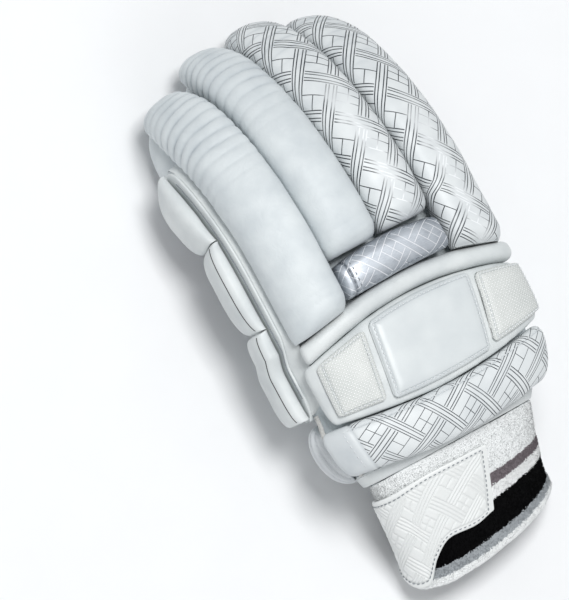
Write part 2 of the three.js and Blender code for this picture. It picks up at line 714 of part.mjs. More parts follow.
// Point on the cuff at a share of its length, grown by an offset. The cuff leans down to the floor.
function cuffPoint(share, angle, grow) {
  const t = THREE.MathUtils.clamp(share, 0, 1);
  const start = handSection(WRIST_LINE);
  const lean = Math.atan2(CUFF_DROP, CUFF_LENGTH) * t;
  const turn = THREE.MathUtils.degToRad(CUFF_TURN) * t;
  const half = (CUFF_WIDTH / 2) * column(CUFF_SECTIONS, 'along', 'half', t) + grow;
  const high = (CUFF_HEIGHT / 2) * column(CUFF_SECTIONS, 'along', 'high', t) + grow;
  const across = new THREE.Vector3(Math.cos(turn), Math.sin(turn), 0);
  const up = new THREE.Vector3(0, -Math.sin(lean), Math.cos(lean));
  return new THREE.Vector3(start.centre, WRIST_LINE - CLEARANCE, start.level)
    .addScaledVector(CUFF_END, share)
    .addScaledVector(across, half * squared(Math.cos(angle), CUFF_POWER))
    .addScaledVector(up, high * squared(Math.sin(angle), CUFF_POWER));
}

function cuffLoft(grow, from, to) {
  return loft(
    steps(from, to, 5).map((share) =>
      steps(0, FULL_TURN, CUFF_SIDES)
        .slice(0, -1)
        .map((angle) => cuffPoint(share, angle, grow)),
    ),
  );
}

function cuff() {
  return cuffLoft(0, 0, 1).subtract(cuffLoft(-CUFF_WALL, -0.2, 1.2)).subtract(belowFloor);
}

// The strap's outline on the cuff: angle in degrees round it, and the shares of the cuff's length where it
// starts and ends. It comes round from under the little finger's edge and closes on top.
const STRAP_OUTLINE = [
  { angle: 82, top: 0.14, foot: 0.66 },
  { angle: 92, top: 0.13, foot: 0.68 },
  { angle: 118, top: 0.12, foot: 0.66 },
  { angle: 135, top: 0.13, foot: 0.77 },
  { angle: 150, top: 0.14, foot: 0.95 },
  { angle: 200, top: 0.15, foot: 0.95 },
];

function wristStrap() {
  const first = STRAP_OUTLINE[0].angle;
  const last = STRAP_OUTLINE.at(-1).angle;
  const turnStep = 360 / CUFF_SIDES;
  const margin = turnStep / 5;
  const inner = steps(0, 360, CUFF_SIDES).filter((at) => at > first + margin && at < last - margin);
  return quilt([first, ...inner, last], steps(0, 1, 5), (degrees, v, side) => {
    const top = column(STRAP_OUTLINE, 'angle', 'top', degrees);
    const foot = column(STRAP_OUTLINE, 'angle', 'foot', degrees);
    const angle = THREE.MathUtils.degToRad(degrees);
    return cuffPoint(top + (foot - top) * v, angle, CLEARANCE + side * STRAP);
  });
}

// Finger holes and the thumb's mouth are cut through the hand body's wall.
function handBody(fingers) {
  const hollow = handLoft(-LEATHER, { wrist: CUFF_WALL, crotch: -LEATHER });
  let body = handLoft(0, { wrist: 0, crotch: 0 }).subtract(hollow);
  for (const finger of fingers) {
    body = body.subtract(fingerTube(finger, -SLEEVE_WALL, finger.crotch - 2 * LEATHER, WRAP));
  }
  return body.subtract(thumbTube(-LEATHER, LEATHER));
}

// Leather, knit and print, from the photograph's colours
const materials = {
  whiteLeather: new THREE.MeshStandardMaterial({ color: 0xe9ecee, roughness: 0.55, metalness: 0 }),
  printedLeather: new THREE.MeshStandardMaterial({ color: 0xdde0e4, roughness: 0.5, metalness: 0 }),
  silverLeather: new THREE.MeshStandardMaterial({ color: 0xa9adb5, roughness: 0.35, metalness: 0.4 }),
  palmLeather: new THREE.MeshStandardMaterial({ color: 0xdfe5e8, roughness: 0.7, metalness: 0 }),
  knit: new THREE.MeshStandardMaterial({ color: 0xd9d0d9, roughness: 0.95, metalness: 0 }),
  towelling: new THREE.MeshStandardMaterial({ color: 0xeeefef, roughness: 1, metalness: 0 }),
  strapPlastic: new THREE.MeshStandardMaterial({ color: 0xe7e8e6, roughness: 0.45, metalness: 0 }),
};

const glove = new THREE.Group();

function add(name, solid, material) {
  const mesh = new THREE.Mesh(geometryOf(solid), material);
  mesh.name = name;
  glove.add(mesh);
}

const fingers = FINGERS.map(fingerOf);

add('hand_body', handBody(fingers), materials.palmLeather);
for (const finger of fingers) {
  const cover = finger.ribbed ? materials.whiteLeather : materials.printedLeather;
  add(`finger_roll_${finger.name}`, fingerRoll(finger), cover);
  add(`finger_sleeve_${finger.name}`, fingerSleeve(finger), materials.knit);
  add(`finger_band_${finger.name}`, fingerBand(finger), materials.whiteLeather);
  add(`fingertip_cap_${finger.name}`, fingertipCap(finger), cover);
}
add('knuckle_guard', knuckleGuard(), materials.silverLeather);
add('knuckle_piping', knucklePiping(), materials.whiteLeather);
add('back_pad', backPad(), materials.whiteLeather);
for (const row of PANELS) add(row.name, raisedPanel(row), materials.whiteLeather);
add('wrist_roll', wristRoll(), materials.printedLeather);
add('heel_gusset', heelGusset(), materials.knit);
add('side_flange', sideFlange(), materials.whiteLeather);
for (const row of SIDE_BARS) add(row.name, sideBar(row), materials.whiteLeather);
add('thumb_sleeve', thumbSleeve(), materials.palmLeather);
add('thumb_pad_heel', thumbPad(0, THUMB_SPLIT), materials.printedLeather);
add('thumb_pad_tip', thumbPad(THUMB_SPLIT + CLEARANCE / THUMB_LENGTH, 1), materials.printedLeather);
add('cuff', cuff(), materials.towelling);
add('wrist_strap', wristStrap(), materials.strapPlastic);

// The origin is under the middle of the glove, on the floor.
const bounds = new THREE.Box3().setFromObject(glove);
const middle = bounds.getCenter(new THREE.Vector3());
glove.position.set(-middle.x, -middle.y, 0);

export default glove;
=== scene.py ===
"""A left-hand cricket batting glove that lies palm down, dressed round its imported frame.

Every shape is worked out in millimetres in the hand's own frame: X runs across the hand towards the first
finger, Y towards the fingertips and Z up from the surface that the glove lies on. A shape becomes a mesh in
metres, moved to where the frame's solids say the hand is.
"""

from __future__ import annotations

import logging
import math
from dataclasses import dataclass, field
from enum import Enum
from typing import Callable

import bpy
import numpy as np
from mathutils import Matrix, Vector

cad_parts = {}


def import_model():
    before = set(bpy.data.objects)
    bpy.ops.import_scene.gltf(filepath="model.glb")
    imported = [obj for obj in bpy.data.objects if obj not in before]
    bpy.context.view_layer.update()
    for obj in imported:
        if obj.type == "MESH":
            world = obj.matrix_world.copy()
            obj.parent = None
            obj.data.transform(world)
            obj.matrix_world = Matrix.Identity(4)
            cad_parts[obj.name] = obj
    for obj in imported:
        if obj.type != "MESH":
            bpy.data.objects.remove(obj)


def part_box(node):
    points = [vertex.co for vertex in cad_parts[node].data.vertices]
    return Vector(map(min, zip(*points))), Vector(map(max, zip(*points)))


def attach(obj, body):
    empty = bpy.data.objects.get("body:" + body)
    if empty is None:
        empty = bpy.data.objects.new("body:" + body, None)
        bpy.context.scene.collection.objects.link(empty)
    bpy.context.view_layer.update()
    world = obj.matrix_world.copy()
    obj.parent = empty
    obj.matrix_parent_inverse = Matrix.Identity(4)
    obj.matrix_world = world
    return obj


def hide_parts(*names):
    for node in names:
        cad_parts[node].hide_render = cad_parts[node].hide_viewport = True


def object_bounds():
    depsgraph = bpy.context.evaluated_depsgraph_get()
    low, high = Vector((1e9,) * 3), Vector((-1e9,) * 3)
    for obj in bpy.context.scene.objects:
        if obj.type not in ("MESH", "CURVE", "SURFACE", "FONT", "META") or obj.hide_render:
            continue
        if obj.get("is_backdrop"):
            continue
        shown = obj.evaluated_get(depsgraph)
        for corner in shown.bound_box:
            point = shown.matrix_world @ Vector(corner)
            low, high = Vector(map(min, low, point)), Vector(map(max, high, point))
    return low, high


Array = np.ndarray
Colour = tuple[float, float, float, float]

MM = 0.001
ROOT = "root"
UV_NAME = "surface_mm"
# Mesh attribute that carries painted shade: how far each point's colour is darkened for creases, folds and
# hollows where shade falls.
PAINTED_SHADE = "painted_shade"

log = logging.getLogger("glove")


class Slot(Enum):
    """The record's material slots."""

    WHITE = "white_leather"
    PRINTED = "printed_leather"
    SILVER = "silver_leather"
    PALM = "palm_leather"
    KNIT = "knit"
    TOWEL = "towelling"
    STRAP = "strap_plastic"


class Print(Enum):
    """What is printed or embossed on a leather."""

    NONE = "none"
    LATTICE = "lattice"
    DOTS = "dots"


BLUNT = 0.5
TINY = 1e-9
LOWEST = -math.pi / 2


def unit(vectors: Array) -> Array:
    """The vectors at length 1."""
    return vectors / np.maximum(np.linalg.norm(vectors, axis=-1, keepdims=True), TINY)


def running(steps: Array) -> Array:
    """Distance run before the first step and after each: 0 and the steps' running sum."""
    return np.concatenate([[0.0], np.cumsum(steps)])


def angles(columns: int, start: float = 0.0) -> Array:
    """Angles once round a section from start, the last repeating the first."""
    return np.linspace(0, 2 * math.pi, columns + 1) + start


def eased(count: int) -> Array:
    """Shares from 0 to 1 that crowd towards both ends: (1 - cosine) / 2."""
    return 0.5 - 0.5 * np.cos(np.linspace(0, math.pi, count))


def dip(distance: Array, width: float) -> Array:
    """A groove's depth from 1 at no distance to 0: a Gaussian of a width."""
    return np.exp(-((distance / width) ** 2))


def signed_power(value: Array, power: float) -> Array:
    """Squares off a sine or cosine: its sign times its size to the power 2 / power."""
    return np.sign(value) * np.abs(value) ** (2.0 / power)


def smooth(low: float, high: float, value: Array) -> Array:
    """Smooth step from 0 at low to 1 at high: t squared times (3 - 2t)."""
    t = np.clip((np.asarray(value, float) - low) / (high - low), 0.0, 1.0)
    return t * t * (3.0 - 2.0 * t)


def rounded(distance: Array, reach: float) -> Array:
    """Height of a round end: a quarter circle that is 0 at the end itself and 1 from reach inwards."""
    t = np.clip(np.asarray(distance, float) / reach, 0.0, 1.0)
    return np.sqrt(1.0 - (1.0 - t) ** 2)


def bar_round(share: Array, power: float) -> Array:
    """Profile across a bar: a superellipse that is 1 in the middle and 0 at shares 0 and 1."""
    return np.clip(1.0 - np.abs(2.0 * np.asarray(share, float) - 1.0) ** power, 0.0, 1.0) ** (1.0 / power)


def squared(angle: Array, *powers: float) -> tuple[Array, Array]:
    """A superellipse's cosine and sine, as one row: both of one power, or each of its own."""
    return (
        signed_power(np.cos(angle), powers[0])[None, :],
        signed_power(np.sin(angle), powers[-1])[None, :],
    )


def section(
    half: Array, top: Array, foot: Array, angle: Array, power: float
) -> tuple[Array, Array]:
    """Superellipse sections: how far across and how far out the points at the angles lie."""
    c, s = squared(angle, power)
    return half * c, (top + foot) / 2 + (top - foot) / 2 * s


def creases(along: Array, pitch: float, sharpness: float) -> Array:
    """Soft ribs: |sine| to the power sharpness, less 1, so -1 in creases a pitch apart and 0 on ribs."""
    return np.abs(np.sin(math.pi * along / pitch)) ** sharpness - 1.0


def column(rows: tuple[dict, ...], key: str, name: str, at: Array) -> Array:
    """Smooth curve through a table's column.

    Cubic Hermite between the rows, with each row's slope taken between its neighbours.

    Args:
        rows: The table, in rising order of key.
        key: The column that gives the place.
        name: The column that gives the value.
        at: The places wanted.

    Returns:
        The values, the same shape as at.
    """
    keys = np.array([row[key] for row in rows], float)
    values = np.array([row[name] for row in rows], float)
    ahead = np.minimum(np.arange(len(rows)) + 1, len(rows) - 1)
    behind = np.maximum(np.arange(len(rows)) - 1, 0)
    slopes = (values[ahead] - values[behind]) / (keys[ahead] - keys[behind])
    at = np.clip(np.asarray(at, float), keys[0], keys[-1])
    i = np.clip(np.searchsorted(keys, at, side="right") - 1, 0, len(rows) - 2)
    gap = keys[i + 1] - keys[i]
    t = (at - keys[i]) / gap
    return (
        values[i] * (1 + 2 * t) * (1 - t) ** 2
        + values[i + 1] * (3 - 2 * t) * t**2
        + gap * (slopes[i] * t * (1 - t) ** 2 - slopes[i + 1] * t**2 * (1 - t))
    )


class Noise:
    """Smooth seeded noise in space: random values on a cubic lattice, blended by smooth steps."""

    CELLS = 32

    def __init__(self, seed: int) -> None:
        """Draws the lattice's values from the seed."""
        self.values = np.random.default_rng(seed).uniform(-1.0, 1.0, (self.CELLS,) * 3)

    def at(self, points: Array, size: float) -> Array:
        """Value from -1 to 1 at each point.

        Args:
            points: Places in millimetres, with the last axis of length 3.
            size: The width of one lattice cell in millimetres.

        Returns:
            An array with the points' shape without its last axis.
        """
        scaled = np.asarray(points, float) / size
        base = np.floor(scaled).astype(int)
        t = scaled - base
        t = t * t * (3.0 - 2.0 * t)
        total = np.zeros(scaled.shape[:-1])
        for corner in np.ndindex(2, 2, 2):
            cell = (base + np.array(corner)) % self.CELLS
            weight = np.prod(np.where(np.array(corner) == 1, t, 1.0 - t), axis=-1)
            total = total + weight * self.values[cell[..., 0], cell[..., 1], cell[..., 2]]
        return total

    def layers(self, points: Array, *weights_and_sizes: tuple[float, float]) -> Array:
        """Sum of the noise at several sizes, each times its weight."""
        return sum(weight * self.at(points, size) for weight, size in weights_and_sizes)


@dataclass
class Skin:
    """A closed surface on a grid: rows run along the piece and columns go round it.

    The last column repeats the first. Where looped is set, the last row repeats the first too, as on a tube
    that is open at both ends. Otherwise each end is closed by a fan round its middle.
    """

    points: Array
    looped: bool = False
    uv: Array | None = None
    # Painted shade from 0 to 1 at each point, which the finishes mix in as their darker colour.
    painted_shade: Array | None = None

    def __post_init__(self) -> None:
        """Gives the skin its map in millimetres, and no painted shade, where none are set."""
        if self.uv is None:
            self.uv = self.arc_map()
        if self.painted_shade is None:
            self.painted_shade = np.zeros(self.points.shape[:2])

    def arc_map(self) -> Array:
        """Map of the grid in millimetres: the mean distances run round the piece and along it."""
        v = running(np.linalg.norm(np.diff(self.points, axis=0), axis=-1).mean(axis=1))
        u = running(np.linalg.norm(np.diff(self.points, axis=1), axis=-1).mean(axis=0))
        u -= u[-1] / 2
        return np.stack(np.broadcast_arrays(u[None, :], v[:, None]), axis=-1).astype(float)

    def facing(self) -> float:
        """Sign of the enclosed volume, which is the sum of p . (dp/du x dp/dv): 1 where that points out."""
        p = self.points - self.points.mean(axis=(0, 1))
        a, b = np.diff(p[:, :-1], axis=0), np.diff(p[:-1], axis=1)
        return float(np.sign((p[:-1, :-1] * np.cross(a, b)).sum()))

    def normals(self) -> Array:
        """Unit normals that point out of the closed skin: the cross product of the grid's two slopes."""
        p = self.points
        wide = np.concatenate([p[:, -2:-1], p, p[:, 1:2]], axis=1)
        round_it = wide[:, 2:] - wide[:, :-2]
        along = np.gradient(p, axis=0)
        if self.looped:
            along[0] = along[-1] = p[1] - p[-2]
        return unit(np.cross(along, round_it) * self.facing())

    def lifted(self, amount: Array, painted_shade: Array | None = None) -> Skin:
        """The skin moved out along its normals.

        Args:
            amount: How far each point moves, in millimetres.
            painted_shade: Painted shade from 0 to 1, for creases and hollows, to add to what is there.

        Returns:
            A new skin with the same map.
        """
        depth = self.painted_shade if painted_shade is None else np.clip(self.painted_shade + painted_shade, 0.0, 1.0)
        points = self.points + self.normals() * np.asarray(amount)[..., None]
        points[:, -1] = points[:, 0]
        if self.looped:
            points[-1] = points[0]
        return Skin(points, self.looped, self.uv, depth)

    def mesh_arrays(self) -> tuple[Array, list, Array, Array]:
        """The skin's vertices, faces, map of each corner and painted shade of each vertex."""
        rows, columns = self.points.shape[0], self.points.shape[1] - 1
        kept = rows - 1 if self.looped else rows
        number = np.arange(kept * columns).reshape(kept, columns)
        number = np.concatenate([number, number[:, :1]], axis=1)
        if self.looped:
            number = np.concatenate([number, number[:1]], axis=0)
        corners = [(0, 0), (0, 1), (1, 1), (1, 0)]
        ends = [(slice(r, rows - 1 + r), slice(c, columns + c)) for r, c in corners]
        faces = np.stack([number[e] for e in ends], axis=-1).reshape(-1, 4)
        uv = np.stack([self.uv[e] for e in ends], axis=-2).reshape(-1, 4, 2)
        vertices = self.points[:kept, :-1].reshape(-1, 3)
        painted_shade = self.painted_shade[:kept, :-1].reshape(-1)
        quads, maps = faces.tolist(), [uv.reshape(-1, 2)]
        if not self.looped:
            for row, turned in ((0, True), (rows - 1, False)):
                middle = len(vertices)
                vertices = np.concatenate([vertices, self.points[row, :-1].mean(axis=0, keepdims=True)])
                painted_shade = np.append(painted_shade, painted_shade[number[row, 0]])
                a, b = number[row, :-1], number[row, 1:]
                fan = np.stack([np.full(columns, middle), *((b, a) if turned else (a, b))], axis=-1)
                edge_a, edge_b = self.uv[row, :-1], self.uv[row, 1:]
                centre = np.broadcast_to((edge_a + edge_b) / 2, edge_a.shape)
                pair = (edge_b, edge_a) if turned else (edge_a, edge_b)
                quads += fan[:, [0, 2, 1]].tolist()
                maps.append(np.stack([centre, pair[1], pair[0]], axis=1).reshape(-1, 2))
        return vertices, quads, np.concatenate(maps), painted_shade


@dataclass
class Parts:
    """Loose closed shapes that become one mesh: vertices, faces of any size, corner map and painted shade."""

    vertices: list[Array] = field(default_factory=list)
    faces: list[list[int]] = field(default_factory=list)
    uv: list[Array] = field(default_factory=list)
    painted_shade: list[Array] = field(default_factory=list)
    count: int = 0

    def add(self, vertices: Array, faces: list, uv: Array, painted_shade: Array, outwards: float = 1.0) -> None:
        """Joins one shape on, with its faces turned round where outwards is negative."""
        if outwards < 0:
            sizes = np.array([len(f) for f in faces])
            ends = np.cumsum(sizes)
            faces = [f[::-1] for f in faces]
            uv = np.concatenate([uv[e - n : e][::-1] for e, n in zip(ends, sizes)])
        self.faces += [[i + self.count for i in f] for f in faces]
        self.vertices.append(vertices)
        self.uv.append(uv)
        self.painted_shade.append(painted_shade)
        self.count += len(vertices)

    def add_skin(self, skin: Skin) -> None:
        """Joins a skin on, with its faces pointing out."""
        self.add(*skin.mesh_arrays(), outwards=-skin.facing())


class Workshop:
    """Turns shapes into pieces on the frame, at the frame's place."""

    def __init__(self) -> None:
        """Finds the hand: the middle two rolls meet at its X, and its wrist line is the body's near end."""
        ring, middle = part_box("finger_roll_ring"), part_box("finger_roll_middle")
        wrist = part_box("hand_body")[0][1] / MM
        self.shift = np.array([(ring[0][0] + middle[1][0]) / 2 / MM, wrist - HandForm.WRIST_LINE, 0.0])

    def mesh_object(self, name: str, shape: Skin | Parts) -> tuple[bpy.types.Object, Parts]:
        """A new object in metres at the frame's place, and the shape as loose parts."""
        parts = shape
        if isinstance(shape, Skin):
            parts = Parts()
            parts.add_skin(shape)
        mesh = bpy.data.meshes.new(name)
        mesh.from_pydata((np.concatenate(parts.vertices) + self.shift) * MM, [], parts.faces)
        made = bpy.data.objects.new(name, mesh)
        bpy.context.collection.objects.link(made)
        return made, parts

    def piece(
        self,
        name: str,
        shape: Skin | Parts,
        material: bpy.types.Material,
        slot: Slot,
        replaces: tuple[str, ...] = (),
        fill: float | None = None,
    ) -> bpy.types.Object:
        """Makes one object and puts it on the frame.

        Args:
            name: The piece's name.
            shape: Its surface in millimetres.
            material: Its finish.
            slot: The record's slot for it; not used.
            replaces: The CAD nodes that it stands for.
            fill: How tightly it is padded, from 0 to 1, or None where it isn't padded; not used.

        Returns:
            The new object.
        """
        made, parts = self.mesh_object(name, shape)
        mesh = made.data
        mesh.uv_layers.new(name=UV_NAME).data.foreach_set("uv", np.concatenate(parts.uv).ravel())
        # The painted shade goes on the mesh as a point attribute that the finishes read.
        depth = mesh.attributes.new(PAINTED_SHADE, "FLOAT", "POINT")
        depth.data.foreach_set("value", np.concatenate(parts.painted_shade).astype(np.float32))
        mesh.polygons.foreach_set("use_smooth", np.ones(len(mesh.polygons), bool))
        mesh.materials.append(material)
        mesh.validate()
        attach(made, ROOT)
        if replaces:
            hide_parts(*replaces)
        log.info("%s: %d faces", name, len(mesh.polygons))
        return made

    def cut(self, piece: bpy.types.Object, *tools: Skin) -> None:
        """Cuts skins out of a piece with an exact boolean, and leaves no modifier on it."""
        for skin in tools:
            tool = self.mesh_object("tool", skin)[0]
            cutter = piece.modifiers.new("cut", "BOOLEAN")
            cutter.operation = "DIFFERENCE"
            cutter.solver = "EXACT"
            cutter.object = tool
            graph = bpy.context.evaluated_depsgraph_get()
            made = bpy.data.meshes.new_from_object(piece.evaluated_get(graph), depsgraph=graph)
            piece.modifiers.clear()
            old, piece.data = piece.data, made
            made.name = old.name
            bpy.data.meshes.remove(old)
            bpy.data.meshes.remove(tool.data)


class HandForm:
    """The hand's own form: its hollow body and the plan lines over its back."""

    PITCH = 29.0
    GAP = 0.6
    CLEARANCE = 0.35
    LENGTH = 108.0
    LEVEL = 52.0
    RISE = 17.0
    DEPTH = 18.0
    LEATHER = 2.0
    WRIST_LINE = -50.0
    CROWN_POWER = 2.6
    PALM_POWER = 3.6
    WIDTH = 4 * PITCH - GAP - 3 * CLEARANCE
    FACETS = 32
    CROTCH_LINE = WRIST_LINE + LENGTH
    SECTIONS = (
        {"along": 0.0, "half": 0.78, "shift": -0.05, "level": 0.93, "rise": 1.0, "depth": 1.0},
        {"along": 0.14, "half": 0.9, "shift": -0.02, "level": 0.985, "rise": 1.06, "depth": 0.94},
        {"along": 0.35, "half": 0.985, "shift": 0.0, "level": 1.0, "rise": 1.06, "depth": 0.74},
        {"along": 0.65, "half": 1.0, "shift": 0.0, "level": 1.0, "rise": 1.0, "depth": 0.6},
        {"along": 1.0, "half": 1.0, "shift": 0.0, "level": 1.0, "rise": 1.0, "depth": 0.6},
    )

    def section(self, y: Array, grow: float = 0.0) -> dict[str, Array]:
        """The body's section at places along the hand, grown by an offset."""
        at = (np.asarray(y, float) - self.WRIST_LINE) / self.LENGTH
        half = self.WIDTH / 2
        return {
            "centre": column(self.SECTIONS, "along", "shift", at) * half,
            "half": column(self.SECTIONS, "along", "half", at) * half + grow,
            "level": column(self.SECTIONS, "along", "level", at) * self.LEVEL,
            "rise": column(self.SECTIONS, "along", "rise", at) * self.RISE + grow,
            "depth": column(self.SECTIONS, "along", "depth", at) * self.DEPTH + grow,
        }

    def point(self, y: Array, angle: Array, lift: Array = 0.0, grow: float = 0.0) -> Array:
        """Point on the body.

        A superellipse, flatter under the palm than over the back, carried out along its own normal.

        Args:
            y: Place along the hand.
            angle: 0 on the first finger's edge and pi on the little finger's, over the back.
            lift: Distance out along the normal.
            grow: Offset of the whole section.

        Returns:
            Points, with the shape that y and angle share and a last axis of 3.
        """
        y, angle, lift = np.broadcast_arrays(*(np.asarray(a, float) for a in (y, angle, lift)))
        s = self.section(y, grow)
        c, n = np.cos(angle), np.sin(angle)
        power = np.where(n >= 0, self.CROWN_POWER, self.PALM_POWER)
        height = np.where(n >= 0, s["rise"], s["depth"])
        x = s["centre"] + s["half"] * signed_power(c, power)
        z = s["level"] + height * signed_power(n, power)
        conjugate = power / (power - 1.0)
        nx = signed_power(c, conjugate) / s["half"]
        nz = signed_power(n, conjugate) / height
        size = np.maximum(np.hypot(nx, nz), TINY)
        return np.stack([x + lift * nx / size, y, z + lift * nz / size], axis=-1)

    def crown_angle(self, y: Array, x: Array) -> Array:
        """Angle at which the back is x from the middle of the hand: the superellipse turned round."""
        s = self.section(y)
        share = np.clip((np.asarray(x, float) - s["centre"]) / s["half"], -0.995, 0.995)
        return np.arccos(np.sign(share) * np.abs(share) ** (self.CROWN_POWER / 2))

    def plan_line(self, share: float, sag: float, x: Array) -> Array:
        """Y of a curved line over the back: a parabola that falls by sag lengths at the hand's edges."""
        return self.WRIST_LINE + self.LENGTH * (share - sag * (np.asarray(x) / (self.WIDTH / 2)) ** 2)

    def tube(self, grow: float, start: float, end: float, rows: int, columns: int) -> Array:
        """Grid of points round the body, from start to end along the hand."""
        y = np.linspace(start, end, rows)
        angle = angles(columns)
        return self.point(y[:, None], angle[None, :], 0.0, grow)


@dataclass(frozen=True)
class FingerForm:
    """One finger's frame: a seam line between roll and sleeve that runs straight and then curls down.

    place counts pitches from the middle of the hand. base and bend are shares of the hand's length, slant
    the rise of the roll's base across it, curl the whole turn in degrees, and tip the fingertip's height as
    a share of the hand's level.
    """

    name: str
    place: float
    base: float
    slant: float
    bend: float
    curl: float
    tip: float
    ribbed: bool

    ROLL_HEIGHT = 24.0
    SLEEVE_HEIGHT = 21.0
    SLEEVE_WALL = 1.8
    WRAP = 2.4
    CAP_LENGTH = 31.0
    BAND_LENGTH = 20.0
    TIP_REACH = 10.0
    TIP_ROUND = 46.0
    BASE_ROUND = 9.0
    DOME = 5.0
    ROLL_POWER = 2.5
    SLEEVE_POWER = 2.8
    BAND_PUFF = 3.4
    CAP_PUFF = 4.0
    HALF = (HandForm.PITCH - HandForm.GAP) / 2
    SLEEVE_HALF = HALF - WRAP - HandForm.CLEARANCE

    @property
    def x(self) -> float:
        """The finger's middle across the hand."""
        return self.place * HandForm.PITCH

    @property
    def base_lean(self) -> float:
        """Slope of the dressed roll's base, squarer than the slant on the little finger's side."""
        return self.slant * (0.55 if self.slant > 0 else 0.9)

    def crown(self, x: float) -> float:
        """Height of the hand body's back at the crotch."""
        s = HandForm().section(HandForm.CROTCH_LINE)
        share = abs((x - float(s["centre"])) / float(s["half"]))
        return float(s["level"]) + float(s["rise"]) * (1 - share**HandForm.CROWN_POWER) ** (
            1 / HandForm.CROWN_POWER
        )

    @property
    def height(self) -> float:
        """Height of the straight seam line."""
        return self.crown(self.x) + HandForm.CLEARANCE + self.WRAP / 4

    @property
    def bank(self) -> float:
        """Slope of the seam line across the finger."""
        return self.crown(self.x + 1) - self.crown(self.x)

    @property
    def turn(self) -> float:
        """The whole curl in radians."""
        return math.radians(self.curl)

    @property
    def radius(self) -> float:
        """Radius of the curl, from how far it comes down."""
        return (self.height - self.tip * HandForm.LEVEL) / (1 - math.cos(self.turn))

    @property
    def bend_line(self) -> float:
        """Y at which the curl starts."""
        return HandForm.WRIST_LINE + self.bend * HandForm.LENGTH

    @property
    def start(self) -> float:
        """The roll's base, along the seam line from the bend."""
        return HandForm.WRIST_LINE + self.base * HandForm.LENGTH - self.bend_line

    @property
    def crotch(self) -> float:
        """The crotch, along the seam line from the bend."""
        return HandForm.CROTCH_LINE - self.bend_line

    @property
    def end(self) -> float:
        """The end of the curl, along the seam line."""
        return self.radius * self.turn

    def point(self, along: Array, across: Array, out: Array, bank: float | None = None) -> Array:
        """Point beside the seam line.

        An arc of the curl's radius after the bend and a straight line before it, with out square to it.

        Args:
            along: Distance along the seam line from the bend.
            across: Distance towards the first finger.
            out: Distance out of the back of the finger.
            bank: Slope across, or None for the finger's own.

        Returns:
            Points with a last axis of 3.
        """
        along, across, out = np.broadcast_arrays(*(np.asarray(a, float) for a in (along, across, out)))
        turn = np.clip(along / self.radius, 0.0, self.turn)
        past = along - turn * self.radius
        c, s = np.cos(turn), np.sin(turn)
        lift = out + (self.bank if bank is None else bank) * across
        y = self.bend_line + self.radius * s + past * c + lift * s
        z = self.height - self.radius * (1 - c) - past * s + lift * c
        return np.stack([self.x + across, y, z], axis=-1)

    def dome(self, left: Array) -> Array:
        """Share that rounds the last millimetres of a fingertip over, at a distance from its end."""
        return 0.3 + 0.7 * rounded(left, self.DOME)

    def ring(self, along: Array, half: Array, top: Array, foot: Array, angle: Array, power: float) -> Array:
        """Grid of superellipse sections: rows at the places along, columns at the angles."""
        sizes = (np.broadcast_to(np.asarray(a, float), along.shape)[:, None] for a in (half, top, foot))
        across, out = section(*sizes, angle, power)
        return self.point(np.broadcast_to(along[:, None], across.shape), across, out)

    def tube(self, grow: float, start: float, columns: int, rows: int, tip_gap: float) -> Array:
        """Grid round the finger's hollow tube, or that tube grown by an offset, closing at the tip."""
        tip = self.end - tip_gap + grow
        reach = self.SLEEVE_HEIGHT * 0.6
        body = np.linspace(start, tip - reach, rows)
        along = np.concatenate([body, tip - reach * (1 - np.sin(np.linspace(0.12, math.pi / 2, 10)))])
        end = rounded(tip - along + BLUNT, reach)
        middle = -(self.SLEEVE_HEIGHT + HandForm.CLEARANCE) / 2
        deep = (self.SLEEVE_HEIGHT / 2 + grow) * (0.2 + 0.8 * end)
        half = (self.SLEEVE_HALF + grow) * (0.2 + 0.8 * end)
        angle = angles(columns, LOWEST)
        return self.ring(along, half, middle + deep, middle - deep, angle, self.SLEEVE_POWER)


FINGERS = (
    FingerForm("little", -1.5, 0.692, 0.28, 1.01, 56, 0.46, True),
    FingerForm("ring", -0.5, 0.925, 0.04, 1.045, 61, 0.36, True),
    FingerForm("middle", 0.5, 0.925, -0.04, 1.045, 66, 0.25, False),
    FingerForm("index", 1.5, 0.69, -0.3, 1.02, 66, 0.26, False),
)


def linear(hex_colour: str) -> Colour:
    """Turns an sRGB hex colour to linear: c / 12.92 if dark, else ((c + 0.055) / 1.055) to the power 2.4."""
    values = [int(hex_colour[i : i + 2], 16) / 255 for i in (0, 2, 4)]
    return tuple(v / 12.92 if v <= 0.04045 else ((v + 0.055) / 1.055) ** 2.4 for v in values) + (1.0,)


def feed(tree: bpy.types.NodeTree, node: bpy.types.Node, inputs: dict) -> None:
    """Sets a node's sockets: each to a value, a link from a socket, or one from a node's first output."""
    for key, value in inputs.items():
        socket = node.inputs[key]
        if isinstance(value, bpy.types.Node):
            tree.links.new(value.outputs[0], socket)
        elif isinstance(value, bpy.types.NodeSocket):
            tree.links.new(value, socket)
        else:
            socket.default_value = value


def add_node(
    tree: bpy.types.NodeTree, kind: str, inputs: dict | None = None, **settings: object
) -> bpy.types.Node:
    """Adds a shader node.

    Args:
        tree: The material's node tree.
        kind: The node's type, without its leading ShaderNode.
        inputs: Socket name or number to what feed takes.
        settings: Properties of the node.

    Returns:
        The new node.
    """
    node = tree.nodes.new("ShaderNode" + kind)
    for key, value in settings.items():
        setattr(node, key, value)
    feed(tree, node, inputs or {})
    return node


def start_material(name: str) -> tuple[bpy.types.Material, bpy.types.NodeTree, bpy.types.Node]:
    """A new material, its tree and its Principled shader."""
    material = bpy.data.materials.new(name)
    material.use_nodes = True
    tree = material.node_tree
    return material, tree, tree.nodes["Principled BSDF"]


